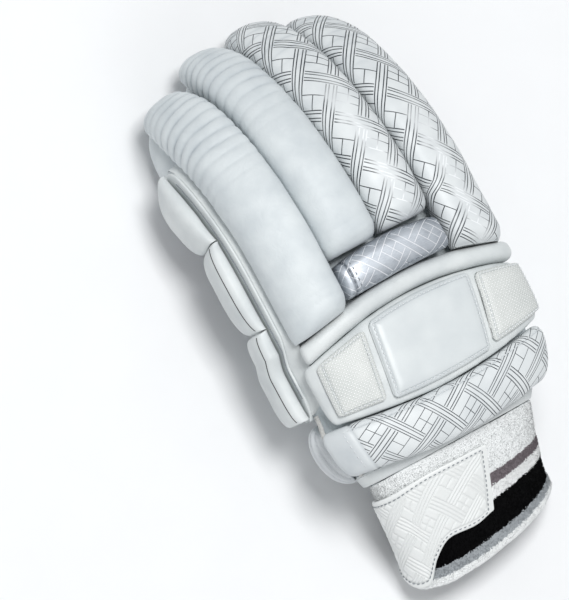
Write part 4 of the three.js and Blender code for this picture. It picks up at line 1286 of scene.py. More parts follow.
@dataclass
class FingerPadding(Maker):
    """One finger: its ribbed or printed roll, knit sleeve, leather band, hem and padded cap."""

    form: FingerForm
    rib_pitch: float = 5.2
    rib_depth: float = 1.2
    crease_depth: float = 0.28
    ribbed_length: float = 82.0
    fine_end: float = 8.0
    thinnest: float = 0.6
    hem_half: float = 1.5
    hem_out: float = 1.15
    hem_down: float = 1.6
    hem_back: float = 2.0
    columns: int = 64

    SEED = 11
    SEAM_COLUMN = 35

    def build(self) -> None:
        """Makes the finger's pieces."""
        self.roll()
        self.sleeve()
        self.band()
        self.hem()
        self.cap()

    def leather(self) -> tuple[bpy.types.Material, Slot]:
        """The finish and slot of the roll and the cap: plain where they are ribbed, and else printed."""
        if self.form.ribbed:
            return self.finishes.rolls, Slot.WHITE
        return self.finishes.printed, Slot.PRINTED

    def roll(self) -> None:
        """The roll: superellipse sections with round ends, ribbed at the tip and wrinkled at the base."""
        f = self.form
        tip = f.end + f.TIP_REACH
        quarter = np.linspace(0, math.pi / 2, 14)
        along = np.concatenate(
            [
                f.start + (1 - np.cos(quarter))[:-1] * f.BASE_ROUND,
                np.linspace(f.start + f.BASE_ROUND, tip - self.fine_end, 210),
                tip - self.fine_end * (1 - np.sin(quarter))[1:],
            ]
        )
        base = rounded(along - f.start + BLUNT, f.BASE_ROUND)
        end = rounded(tip - along + BLUNT, f.TIP_ROUND)
        dome = f.dome(tip - along)
        half = f.HALF * (0.8 + 0.2 * base) * (0.34 + 0.66 * end) * dome
        top = f.ROLL_HEIGHT * (0.45 + 0.55 * base) * (0.12 + 0.88 * end) * dome
        angle = angles(self.columns, LOWEST)
        foot = HandForm.CLEARANCE / 2
        across, out = section(half[:, None], top[:, None], foot, angle, f.ROLL_POWER)
        slant = f.base_lean * np.clip(-along / f.BASE_ROUND, 0, 1)
        places = along[:, None] + slant[:, None] * across
        skin = Skin(f.point(places, across, out))
        wander = self.noise.at(skin.points, 18.0)
        left = tip - places
        near_tip = 1 - smooth(self.ribbed_length * 0.45, self.ribbed_length, left)
        near_base = (1 - smooth(8.0, 26.0, places - f.start)) * smooth(1.0, 5.0, places - f.start)
        depth = self.rib_depth if f.ribbed else self.crease_depth
        ribs = creases(places + wander, self.rib_pitch, 0.6)
        lines = creases(places + 2 * wander, self.rib_pitch * 0.8, 0.5)
        side = 0.72 + 0.3 * self.noise.at(skin.points, 11.0)
        grooves = ribs * near_tip * side * smooth(1.0, 6.0, left) + 0.14 * lines * near_base
        soft = self.noise.layers(skin.points, (0.22, 13.0), (0.08, 4.0))
        # Painted shade darkens the rib creases.
        skin = skin.lifted(depth * grooves + soft, np.clip(-grooves, 0, 1) ** 1.5 * 0.75)
        self.shop.piece(f"{f.name}_roll", skin, *self.leather(), (f"finger_roll_{f.name}",), fill=0.8)

    def sleeve(self) -> None:
        """The hollow knit sleeve: a tube closed at the tip, gathered in folds before the band."""
        f = self.form
        start = f.crotch + HandForm.CLEARANCE
        outer = f.tube(0.0, start, self.columns, 110, f.WRAP)
        inner = f.tube(-f.SLEEVE_WALL, start, self.columns, 30, f.WRAP)
        skin = Skin(np.concatenate([outer[::-1], inner]))
        rows = len(outer)
        place = np.linspace(0, f.end, rows)[::-1]
        band = f.end + f.TIP_REACH - f.CAP_LENGTH - f.BAND_LENGTH
        gather = smooth(band - 34, band - 10, place) * (1 - smooth(band - 3, band, place))
        lower = np.clip(-np.sin(angles(self.columns, LOWEST)), 0, 1) ** 0.5
        wave = creases(place[:, None] + 3.5 * self.noise.at(outer[::-1], 12.0), 9.0, 0.8)
        fold = gather[:, None] * (0.35 + 0.65 * lower[None, :])
        soft = 0.15 * self.noise.at(outer[::-1], 4.0) * smooth(0, 4, place)[:, None]
        lift = np.zeros(skin.points.shape[:2])
        lift[:rows] = fold * (1.6 + 1.7 * wave) + soft
        # Painted shade: the folds' creases are darkened, and the inner skin all over as the shade inside the
        # sleeve.
        dark = np.zeros_like(lift)
        dark[:rows] = np.clip(-wave, 0, 1) ** 2 * fold * 0.8
        dark[rows:] = 0.5
        skin = skin.lifted(lift, dark)
        stands_for = (f"finger_sleeve_{f.name}",)
        self.shop.piece(f"{f.name}_sleeve", skin, self.finishes.knit, Slot.KNIT, stands_for)

    def wrap(self, along: Array, half: Array, foot: Array, inner: Array, columns: int) -> Skin:
        """A piece that wraps the palm side of the sleeve, open where the roll lies.

        Args:
            along: Places along the finger.
            half: Its half width at each place.
            foot: Its lowest height at each place.
            inner: How far its hollow follows the sleeve, from 0 where it is filled in to 1.
            columns: Points from one top edge round to the other.

        Returns:
            A skin whose columns run round outside and come back inside.
        """
        f = self.form
        gap = HandForm.CLEARANCE
        sweep = np.linspace(math.radians(58), math.radians(-238), columns)
        outside = f.ring(along, half, 0.0, foot, sweep, f.SLEEVE_POWER)
        hollow = np.minimum(f.SLEEVE_HALF + gap, half - self.thinnest)
        inside = f.ring(along, hollow, 0.0, -f.SLEEVE_HEIGHT - gap, sweep, f.SLEEVE_POWER)
        share = np.linspace(0, 1, columns)[None, :, None]
        lid = outside[:, :1] * (1 - share) + outside[:, -1:] * share
        inside = lid + (inside - lid) * np.asarray(inner)[:, None, None]
        inside = inside[:, ::-1]
        return Skin(np.concatenate([outside, inside, outside[:, :1]], axis=1))

    def band(self) -> None:
        """The smooth leather band: a puffed wrap with light gathers at both seams."""
        f = self.form
        to = f.end + f.TIP_REACH - f.CAP_LENGTH - HandForm.CLEARANCE
        rows = 44
        share = np.linspace(0, 1, rows)
        along = np.linspace(to - f.BAND_LENGTH, to, rows)
        puff = 0.5 + 0.5 * bar_round(share, 2.4)
        foot = -f.SLEEVE_HEIGHT - HandForm.CLEARANCE - f.BAND_PUFF * puff
        half = f.SLEEVE_HALF + HandForm.CLEARANCE + f.WRAP * puff
        skin = self.wrap(along, half, foot, np.ones(rows), 60)
        edge = 1 - rounded(np.minimum(share, 1 - share), 0.3)
        wander = 1.5 * self.noise.at(skin.points, 9.0)
        gathers = creases(skin.uv[..., 0] + wander, 4.3, 0.7) * edge[:, None]
        soft = 0.2 * self.noise.at(skin.points, 8.0)
        # Painted shade darkens the gathers' creases.
        skin = skin.lifted(0.45 * gathers + soft, np.clip(-gathers, 0, 1) * 0.3)
        stands_for = (f"finger_band_{f.name}",)
        self.shop.piece(f"{f.name}_band", skin, self.finishes.band, Slot.WHITE, stands_for, fill=0.5)

    def hem(self) -> None:
        """The raw-edged tape that binds the knit to the band: a flat wavy ribbon round the palm side."""
        f = self.form
        to = f.end + f.TIP_REACH - f.CAP_LENGTH - HandForm.CLEARANCE - f.BAND_LENGTH
        points = 90
        sweep = np.linspace(math.radians(50), math.radians(-230), points)
        along = to - self.hem_back + 0.7 * np.sin(np.linspace(0, 9 * math.pi, points))
        half = f.SLEEVE_HALF + self.hem_out
        foot = -f.SLEEVE_HEIGHT - self.hem_down
        across = half * signed_power(np.cos(sweep), f.SLEEVE_POWER)
        out = foot / 2 - foot / 2 * signed_power(np.sin(sweep), f.SLEEVE_POWER)
        path = f.point(along, across, out)
        middle = f.point(along, 0.0, foot / 2)
        skin = tube_skin(path, self.hem_half, unit(path - middle), 10, 0.5)
        skin = skin.lifted(0.12 * self.noise.at(skin.points, 1.6))
        self.shop.piece(f"{f.name}_hem", skin, self.finishes.hem, Slot.KNIT)

    def cap(self) -> None:
        """The padded fingertip: a dome that meets the roll, gathered where printed and seamed where plain."""
        f = self.form
        tip = f.end + f.TIP_REACH
        start = tip - f.CAP_LENGTH
        along = start + f.CAP_LENGTH * np.sin(np.linspace(0, math.pi / 2, 60))
        end = rounded(tip - along + BLUNT, f.CAP_LENGTH * 0.75)
        neck = 0.93 + 0.07 * rounded(along - start, f.CAP_LENGTH * 0.3)
        dome = f.dome(tip - along)
        foot = -(f.SLEEVE_HEIGHT + HandForm.CLEARANCE + f.CAP_PUFF) * neck * (0.2 + 0.8 * end) * dome
        half = f.HALF * neck * (0.34 + 0.66 * rounded(tip - along + BLUNT, f.TIP_ROUND)) * dome
        sleeve_tip = f.end - f.WRAP
        inner = rounded(sleeve_tip + 2 - along, f.SLEEVE_HEIGHT * 0.6)
        skin = self.wrap(along, half, foot, inner, 72)
        u = skin.uv[..., 0]
        left = tip - along
        if f.ribbed:
            middle = np.abs(u - u[:, self.SEAM_COLUMN, None])
            groove = -dip(middle, 0.8)
            near = smooth(0.5, 3.0, left)[:, None]
            lift = 0.7 * groove * near + 0.35 * self.noise.at(skin.points, 9.0)
            dark = np.clip(-groove, 0, 1) * 0.5 * near
        else:
            pleats = creases(u * (1 + 0.1 * self.noise.at(skin.points, 14.0)), 4.6, 0.7)
            near = (1 - smooth(6.0, 24.0, left))[:, None]
            lift = 0.9 * pleats * near + 0.3 * self.noise.at(skin.points, 7.0)
            dark = np.clip(-pleats, 0, 1) ** 2 * 0.5 * near
        # Painted shade darkens the seam groove on a plain cap and the pleats on a printed one.
        skin = skin.lifted(lift, dark)
        skin.points[..., 2] = np.maximum(skin.points[..., 2], 0.05)
        self.shop.piece(f"{f.name}_cap", skin, *self.leather(), (f"fingertip_cap_{f.name}",), fill=0.7)
        if f.ribbed:
            self.cap_seam(skin, left)

    def cap_seam(self, skin: Skin, left: Array) -> None:
        """A row of stitches beside the seam down the middle of a plain cap."""
        keep = (left > 3) & (left < self.form.CAP_LENGTH - 2)
        parts = Parts()
        beside = self.SEAM_COLUMN - 2
        path, out = skin.points[keep, beside], skin.normals()[keep, beside]
        Stitching(pitch=2.4, length=1.5, radius=0.22).row(parts, path, out)
        self.shop.piece(f"{self.form.name}_cap_stitches", parts, self.finishes.grey_thread, Slot.WHITE)


@dataclass
class BackShape:
    """A padded piece on the back of the hand, between two plan lines.

    foot and head give its two edges as Y at a distance across the hand, height its thickness at a share
    across it, and lift how high its underside is over the hand. Its section is a superellipse of the given
    power, which closes in over end_round millimetres at both ends.
    """

    STITCH_LIFT = 0.1

    hand: HandForm
    low: float
    high: float
    foot: Callable[[Array], Array]
    head: Callable[[Array], Array]
    height: Callable[[Array], Array]
    lift: float = HandForm.CLEARANCE
    power: float = 3.0
    end_round: float = 6.0
    rows: int = 150
    columns: int = 72

    def frame(self, u: Array, v: Array, h: Array) -> Array:
        """Point at shares u across, v along and h of the thickness."""
        middle = (self.foot(0.0) + self.head(0.0)) / 2
        ends = self.hand.crown_angle(middle, np.array([self.low, self.high]))
        angle = ends[0] + (ends[1] - ends[0]) * u
        x = self.hand.point(middle, angle)[..., 0]
        y = self.foot(x) + (self.head(x) - self.foot(x)) * v
        return self.hand.point(y, angle, self.lift + self.height(u) * h)

    def seam(self, u: Array, v: Array) -> Array:
        """Points for stitches, just over the top of the section at shares u across and v along."""
        return self.frame(u, v, 0.5 + 0.5 * bar_round(v, 3.0)) + [0.0, 0.0, self.STITCH_LIFT]

    def skin(self) -> Skin:
        """The closed skin: rows from end to end, columns round its section."""
        u = 0.35 * eased(self.rows) + 0.65 * np.linspace(0, 1, self.rows)
        left = np.minimum(u, 1 - u) * (self.high - self.low) + BLUNT
        close = (0.35 + 0.65 * rounded(left, self.end_round))[:, None]
        angle = angles(self.columns, LOWEST)
        c, s = squared(angle, self.power)
        v = 0.5 + 0.5 * close * c
        h = 0.5 * close + 0.5 * close * s
        return Skin(self.frame(np.broadcast_to(u[:, None], v.shape), v, h))


@dataclass
class BackOfHand(Maker):
    """The padding on the back: knuckle guard, piping roll, back pad with raised panels, and wrist roll."""

    hand: HandForm
    pad: float = 12.0
    pad_inset: float = 3.5
    panel: float = 3.2
    panel_round: float = 5.5
    piping_width: float = 9.0
    piping_height: float = 14.0
    guard_width: float = 18.5
    guard_height: float = 21.0
    roll_width: float = 24.0
    roll_height: float = 14.0
    fold_line: float = 17.5
    row_angle: float = 0.77
    flap_width: float = 7.5
    hem: float = 1.7

    SEED = 23
    KNUCKLE_LINE = 0.738
    PIPING_SAG = 0.105
    GUARD_SAG = 0.03
    ROLL_LINE = 0.232
    ROLL_SAG = -0.07
    GUARD_END_ROWS = (0.115, 0.155)
    GUARD_SIDE_ROWS = (0.07, 0.93)
    PANELS = (
        ("side_panel_little", -0.88, -0.56, 0.02, 0.1, 0.1, 0.93),
        ("centre_panel", -0.51, 0.4, 0.1, 0.12, 0.07, 0.96),
        ("side_panel_index", 0.445, 0.93, 0.12, 0.0, 0.1, 0.93),
    )

    def build(self) -> None:
        """Makes the pieces on the back."""
        self.guard()
        self.piping()
        self.back_pad()
        for row in self.PANELS:
            self.raised_panel(*row)
        self.wrist_roll()

    def piping_top(self, x: Array) -> Array:
        """Finger side of the piping roll."""
        return self.hand.plan_line(self.KNUCKLE_LINE, self.PIPING_SAG, x)

    def guard_foot(self, x: Array) -> Array:
        """Wrist side of the knuckle guard."""
        return self.hand.plan_line(self.KNUCKLE_LINE + 0.008, self.GUARD_SAG, x)

    def roll_top(self, x: Array) -> Array:
        """Finger side of the wrist roll."""
        return self.hand.plan_line(self.ROLL_LINE, self.ROLL_SAG, x)

    def edge(self) -> float:
        """How far out the back pad reaches."""
        return self.hand.WIDTH / 2 - self.pad_inset

    def pad_height(self, u: Array) -> Array:
        """Thickness of the back pad: full in the middle, thinner where it wraps over the edges."""
        return self.pad * (0.58 + 0.42 * bar_round(u, 3.0))

    def piping(self) -> None:
        """The slim roll behind the knuckles: a round bar along a parabola."""
        half = self.hand.WIDTH / 2
        shape = BackShape(
            self.hand,
            -0.9 * half,
            0.93 * half,
            lambda x: self.piping_top(x) - self.piping_width,
            lambda x: self.piping_top(x) + 0.8,
            lambda u: self.piping_height * (0.75 + 0.25 * bar_round(u, 6.0)),
            power=2.4,
            end_round=4.0,
        )
        skin = shape.skin()
        skin = skin.lifted(self.noise.layers(skin.points, (0.15, 10.0), (0.06, 3.5)))
        self.shop.piece("piping_roll", skin, self.finishes.white, Slot.WHITE, ("knuckle_piping",), fill=0.9)

    def guard(self) -> None:
        """The silver guard: a crowned bar over the two middle knuckles, pressed in along one stitched end."""
        end = HandForm.PITCH - HandForm.GAP - 4 * HandForm.CLEARANCE
        shape = BackShape(
            self.hand,
            -end,
            end,
            self.guard_foot,
            lambda x: self.guard_foot(x) + self.guard_width - 2.6 * (x / end) ** 2,
            lambda u: self.guard_height * (0.72 + 0.28 * bar_round(u, 4.0)),
            lift=HandForm.CLEARANCE + FingerForm.WRAP / 2,
            end_round=3.0,
            rows=170,
        )
        skin = shape.skin()
        across = np.linspace(-end, end, shape.rows)[:, None]
        flap = dip(across + end - self.flap_width, 0.8)
        soft = 0.25 * self.noise.at(skin.points, 8.0)
        angle = angles(shape.columns, LOWEST)[None, :]
        # Painted shade: the guard's lower sides and its first-finger end are darkened, and so is the
        # pressed-in groove by the stitched end, so that only the top of the middle stays pale.
        side = 0.75 * (1 - np.clip(np.sin(angle), 0, 1) ** 1.5) + 0.35 * smooth(0.2 * end, end, across)
        skin = skin.lifted(soft - 0.7 * flap, 0.5 * flap + side)
        stands_for = ("knuckle_guard",)
        self.shop.piece("knuckle_guard_cover", skin, self.finishes.silver, Slot.SILVER, stands_for, fill=0.9)
        parts = Parts()
        stitch = Stitching(pitch=2.6, length=1.7, radius=0.26)
        for u in self.GUARD_END_ROWS:
            path = shape.seam(u, np.linspace(0.12, 0.9, 24))
            stitch.row(parts, path, np.broadcast_to([0.0, 0.0, 1.0], path.shape))
        for v in self.GUARD_SIDE_ROWS:
            path = shape.seam(np.linspace(0.04, 0.96, 60), v)
            stitch.row(parts, path, np.broadcast_to([0.0, 0.3 * (v - 0.5), 1.0], path.shape))
        self.shop.piece("knuckle_guard_stitches", parts, self.finishes.grey_thread, Slot.SILVER)

    def back_pad_shape(self) -> BackShape:
        """The back pad's form."""
        return BackShape(
            self.hand,
            -self.edge(),
            self.edge(),
            lambda x: self.roll_top(x) + HandForm.CLEARANCE,
            lambda x: self.piping_top(x) - self.piping_width - HandForm.CLEARANCE,
            self.pad_height,
            power=5.0,
            end_round=5.0,
        )

    def back_pad(self) -> None:
        """The pad under the panels."""
        skin = self.back_pad_shape().skin()
        skin = skin.lifted(self.noise.layers(skin.points, (0.2, 9.0), (0.08, 3.0)))
        self.shop.piece("back_pad_cover", skin, self.finishes.white, Slot.WHITE, ("back_pad",), fill=0.8)

    def raised_panel(
        self, name: str, low: float, high: float, lean_low: float, lean_high: float, foot: float, head: float
    ) -> None:
        """A raised panel on the back pad, with a stitched border.

        The panel is a four-sided pillow: its height falls by a quarter circle towards each edge.

        Args:
            name: The CAD node's name.
            low: Its little-finger edge at the foot, as a share of half the hand's width.
            high: Its first-finger edge at the foot.
            lean_low: How far the little-finger edge moves across towards the head.
            lean_high: The same for the first-finger edge.
            foot: Its near edge as a share of the back pad's length.
            head: Its far edge.
        """
        pad = self.back_pad_shape()
        middle = (pad.foot(0.0) + pad.head(0.0)) / 2
        half = self.hand.WIDTH / 2
        ends = self.hand.crown_angle(middle, np.array([-self.edge(), self.edge()]))

        def surface(u: Array, v: Array, h: Array) -> Array:
            """Point h over the back pad at shares u across the panel and v along it."""
            left = half * (low + lean_low * v)
            right = half * (high + lean_high * v)
            x = np.clip(left + (right - left) * u, -self.edge(), self.edge())
            angle = self.hand.crown_angle(middle, x)
            share = foot + (head - foot) * v
            y = pad.foot(x) + (pad.head(x) - pad.foot(x)) * share
            across = (angle - ends[0]) / (ends[1] - ends[0])
            lift = 2.6 * HandForm.CLEARANCE + self.pad_height(across) * (0.8 + 0.2 * bar_round(share, 4.0))
            return self.hand.point(y, angle, lift + h)

        wide = half * (high - low)
        long = (head - foot) * float(pad.head(0.0) - pad.foot(0.0))
        rows, columns, corner = 110, 150, 3.0
        u = 0.5 * np.linspace(0, 1, rows) + 0.5 * eased(rows)
        cut = corner * (1 - rounded(np.minimum(u, 1 - u) * wide, corner)) / long
        angle = angles(columns, LOWEST)
        v = 0.5 + (0.5 - cut)[:, None] * signed_power(np.cos(angle), 9.0)[None, :]
        inset = np.minimum(np.minimum(u, 1 - u)[:, None] * wide, np.minimum(v, 1 - v) * long)
        upper = np.sin(angle)[None, :] > 0
        h = np.where(upper, self.puff(inset), 0.0)
        skin = Skin(surface(np.broadcast_to(u[:, None], v.shape), v, h))
        groove = np.where(upper, dip(inset - self.hem, 0.5), 0.0)
        soft = np.where(upper, 0.18 * self.noise.at(skin.points, 8.0), 0.0)
        # Painted shade darkens the groove along the stitched border.
        skin = skin.lifted(soft - 0.35 * groove, 0.45 * groove)
        material = self.finishes.centre if name == "centre_panel" else self.finishes.dotted
        self.shop.piece(name + "_cover", skin, material, Slot.WHITE, (name,), fill=0.7)
        parts = Parts()
        x, y = self.hem / wide, self.hem / long
        border = np.array([[x, y], [1 - x, y], [1 - x, 1 - y], [x, 1 - y], [x, y]])
        t = np.linspace(0, 4, 241)
        u, v = (np.interp(t, np.arange(5), border[:, k]) for k in (0, 1))
        inset = np.full(len(t), self.hem)
        path = surface(u, v, self.puff(inset) - 0.15)
        out = unit(surface(u, v, 5.0 + 0 * u) - surface(u, v, 0 * u))
        Stitching(pitch=2.3, length=1.75, radius=0.34).row(parts, path, out)
        self.shop.piece(name + "_stitches", parts, self.finishes.thread, Slot.WHITE)

    def puff(self, inset: Array) -> Array:
        """Height of a raised panel at a distance from its edge: a quarter circle over the edge's reach."""
        return self.panel * (0.12 + 0.88 * rounded(inset, self.panel_round))

    def wrist_roll(self) -> None:
        """The printed roll across the wrist, with a stitched row along its finger side and its plain end."""
        half = self.hand.WIDTH / 2
        shape = BackShape(
            self.hand,
            -0.9 * half,
            0.79 * half,
            lambda x: self.roll_top(x) - self.roll_width,
            self.roll_top,
            lambda u: self.roll_height * (0.62 + 0.38 * bar_round(u, 5.0)),
            end_round=5.0,
            rows=180,
        )
        skin = shape.skin()
        run = skin.uv[..., 1]
        # Painted shade: the fold, the groove along the stitch row and the flap before the fold are darkened.
        fold = dip(run - self.fold_line, 0.7)
        flap = 0.35 * (1 - smooth(self.fold_line - 3.5, self.fold_line + 0.5, run))
        angle = angles(shape.columns, LOWEST)[None, :]
        row = dip(angle - self.row_angle, 0.06) * smooth(16.0, 20.0, run)
        lift = 0.22 * self.noise.at(skin.points, 9.0) - 0.6 * fold - 0.35 * row
        skin = skin.lifted(lift, 0.35 * fold + flap + 0.5 * row)
        stands_for = ("wrist_roll",)
        self.shop.piece("wrist_roll_cover", skin, self.finishes.wrist, Slot.PRINTED, stands_for, fill=0.85)
        parts = Parts()
        stitch = Stitching(pitch=2.7, length=1.8, radius=0.26)
        path = shape.seam(np.linspace(0.12, 0.95, 120), 0.9)
        stitch.row(parts, path, np.broadcast_to([0.0, 0.2, 1.0], path.shape))
        path = shape.seam(0.13, np.linspace(0.1, 0.88, 30)) + [-0.1, 0.0, 0.0]
        stitch.row(parts, path, np.broadcast_to([-0.6, 0.0, 1.0], path.shape))
        self.shop.piece("wrist_roll_stitches", parts, self.finishes.thread, Slot.PRINTED)


@dataclass
class SideGuard(Maker):
    """The little finger's edge: a flat flange, three padded bars on it, a dark seam and the heel gusset."""

    hand: HandForm
    flange: float = 1.8
    drop: float = 10.0
    rise: float = 8.5
    ramp: float = 18.0
    bar: float = 9.0
    bar_height: float = 24.0
    gusset_height: float = 10.0
    gusset_edge: float = 1.2
    gusset_width: float = 22.0
    rib_pitch: float = 2.2
    tab_half: float = 1.5

    SEED = 31
    START = 0.36
    END = 0.78
    GUSSET_RUN = (0.04, 0.33)
    GUSSET_FACETS = 5
    BORDER_TRIM = 9
    BORDER_COLUMN = 34
    BARS = (
        ("side_bar_heel", 0.01, 0.325, 0.86, 4.0),
        ("side_bar_middle", 0.33, 0.66, 0.9, 2.4),
        ("side_bar_tip", 0.665, 0.985, 0.94, 2.0),
    )

    def __post_init__(self) -> None:
        """Takes the bars' ends from the little finger's frame."""
        super().__post_init__()
        self.finger = FINGERS[0]
        self.low = HandForm.WRIST_LINE + self.START * HandForm.LENGTH - self.finger.bend_line
        self.high = self.finger.end * self.END

    def build(self) -> None:
        """Makes the pieces of the edge."""
        self.flange_strip()
        for row in self.BARS:
            self.padded_bar(*row)
        self.seam()
        self.gusset()
        self.heel_tab()

    def point(self, along: Array, out: Array, away: Array) -> Array:
        """Point beside the finger's edge: away is the distance out of the hand's side."""
        across = -FingerForm.HALF - HandForm.CLEARANCE - np.asarray(away, float)
        return self.finger.point(along, across, out, bank=0.0)

    def top(self, along: Array) -> Array:
        """Top of the flange below the seam line, which rises past the start of the roll."""
        beside = self.finger.start + self.ramp / 3
        return -self.drop + self.rise * smooth(beside - self.ramp, beside, along)

    def bar_top(self, along: Array) -> Array:
        """Top of the side bars, which stays under half the flange's drop."""
        return np.minimum(self.top(along), -self.drop / 2)

    def flange_strip(self) -> None:
        """The flange: a thin strip that follows the finger's curve."""
        along = np.linspace(self.low, self.high, 160)
        angle = angles(32)
        top = self.top(along)[:, None]
        foot = 1 - self.drop / 2 - self.bar_height * 0.9
        close = rounded(np.minimum(along - self.low, self.high - along) + BLUNT, 12.0)[:, None]
        c, s = squared(angle, 8.0, 4.0)
        v = 0.5 + 0.5 * close * c
        away = self.flange * (0.5 + 0.5 * s)
        skin = Skin(self.point(along[:, None] + 0 * v, top + (foot - top) * v, away + 0 * v))
        self.shop.piece("side_flange_strip", skin, self.finishes.white, Slot.WHITE, ("side_flange",))
        self.bridge()

    def bridge(self) -> None:
        """The thin leather between the flange and the underside of the little finger's roll.

        A flat closed section that runs from the flange's top edge in under the roll, and dips at both ends.
        """
        along = np.linspace(self.low + 2, self.high - 1, 160)
        angle = angles(24)
        share = 0.5 + 0.5 * signed_power(np.cos(angle), 6.0)[None, :]
        away = -5.5 * share + 0.4
        close = rounded(np.minimum(along - along[0], along[-1] - along), 14.0)[:, None]
        top = self.top(along)[:, None] - 4 * (1 - close)
        out = top * (1 - share * close) - 0.5 * share * close + 0.35 * np.sin(angle)[None, :]
        skin = Skin(self.point(along[:, None] + 0 * share, out, away + 0 * out))
        self.shop.piece("side_bridge_leather", skin, self.finishes.white, Slot.WHITE)

    def padded_bar(self, name: str, low: float, high: float, full: float, square: float) -> None:
        """One padded length of the side bar.

        A pillow whose thickness is a superellipse along it and across it.

        Args:
            name: The CAD node's name.
            low: Its start as a share of the flange.
            high: Its end.
            full: Its height as a share of the bar's.
            square: How square its ends are.
        """
        length = self.high - self.low
        start, end = self.low + low * length, self.low + high * length
        u = eased(90)
        along = start + (end - start) * u
        close = 0.45 + 0.55 * bar_round(u, square * 1.8)
        top = self.bar_top(along) - 0.5
        foot = top - (self.bar_height * full - 2) * close
        angle = angles(56, LOWEST)
        c, s = squared(angle, 3.4, 2.6)
        v = 0.5 + 0.5 * c
        puff = 1 + (self.bar - 1) * (0.4 + 0.6 * bar_round(u, square))
        away = puff[:, None] * (0.5 + 0.5 * s)
        out = top[:, None] + (foot - top)[:, None] * v
        skin = Skin(self.point(along[:, None] + 0 * v, out, self.flange + HandForm.CLEARANCE + away))
        skin = skin.lifted(0.2 * self.noise.at(skin.points, 9.0))
        self.shop.piece(name + "_pad", skin, self.finishes.white, Slot.WHITE, (name,), fill=0.7)
        if name != "side_bar_tip":
            inner = slice(self.BORDER_TRIM, -self.BORDER_TRIM), self.BORDER_COLUMN
            cord = tube_skin(skin.points[inner], 0.22, skin.normals()[inner], 8)
            self.shop.piece(name + "_border", cord, self.finishes.black, Slot.WHITE)

    def seam(self) -> None:
        """The dark cord sewn along the flange's upper edge."""
        along = np.linspace(self.low + 11, self.high - 11, 160)
        path = self.point(along, self.bar_top(along) - 0.1, self.flange + 0.2)
        skin = tube_skin(path, 0.24, np.broadcast_to([-1.0, 0.0, 0.3], path.shape), 8)
        self.shop.piece("side_seam_cord", skin, self.finishes.grey_thread, Slot.WHITE)

    def gusset(self) -> None:
        """The elastic bulge at the heel: lengthwise ribs on a pillow over the hand's edge."""
        low, high = (HandForm.WRIST_LINE + share * HandForm.LENGTH for share in self.GUSSET_RUN)
        u = eased(90)
        angle = angles(96, LOWEST)
        close = (0.25 + 0.75 * bar_round(u, 3.0))[:, None]
        c, s = squared(angle, 3.0, 2.2)
        v = 0.5 + 0.5 * close * c
        h = 0.5 + 0.5 * s
        turn = math.pi + self.GUSSET_FACETS * (2 * math.pi / HandForm.FACETS) * v
        bulge = self.gusset_height * bar_round(u, 2.2)[:, None] * bar_round(v, 2.2)
        lift = HandForm.CLEARANCE + (self.gusset_edge + bulge) * h
        y = (low + (high - low) * u)[:, None] + 0 * v
        skin = Skin(self.hand.point(y, turn, lift))
        ribs = creases(self.gusset_width * v, self.rib_pitch, 0.8) * (np.sin(angle)[None, :] > 0)
        # Painted shade darkens the creases between the ribs.
        skin = skin.lifted(0.55 * ribs, np.clip(-ribs, 0, 1) ** 2 * 0.5)
        self.shop.piece("heel_gusset_knit", skin, self.finishes.rib, Slot.KNIT, ("heel_gusset",))

    def heel_tab(self) -> None:
        """The raw cloth edge between the gusset and the wrist roll: a flat wavy ribbon down the hand."""
        y = np.linspace(-10.0, HandForm.WRIST_LINE + 6, 90)
        angle = math.pi - 0.14 + 0.02 * np.sin(y / 2.2)
        lift = 2.2 + 3.0 * smooth(10.0, 20.0, -y) * smooth(-44.0, -36.0, y)
        path = self.hand.point(y, angle, lift)
        out = unit(self.hand.point(y, angle, lift + 3) - path)
        skin = tube_skin(path, self.tab_half, out, 12, 0.5)
        skin = skin.lifted(0.25 * self.noise.at(skin.points, 1.8))
        self.shop.piece("heel_tab_edge", skin, self.finishes.hem, Slot.KNIT)


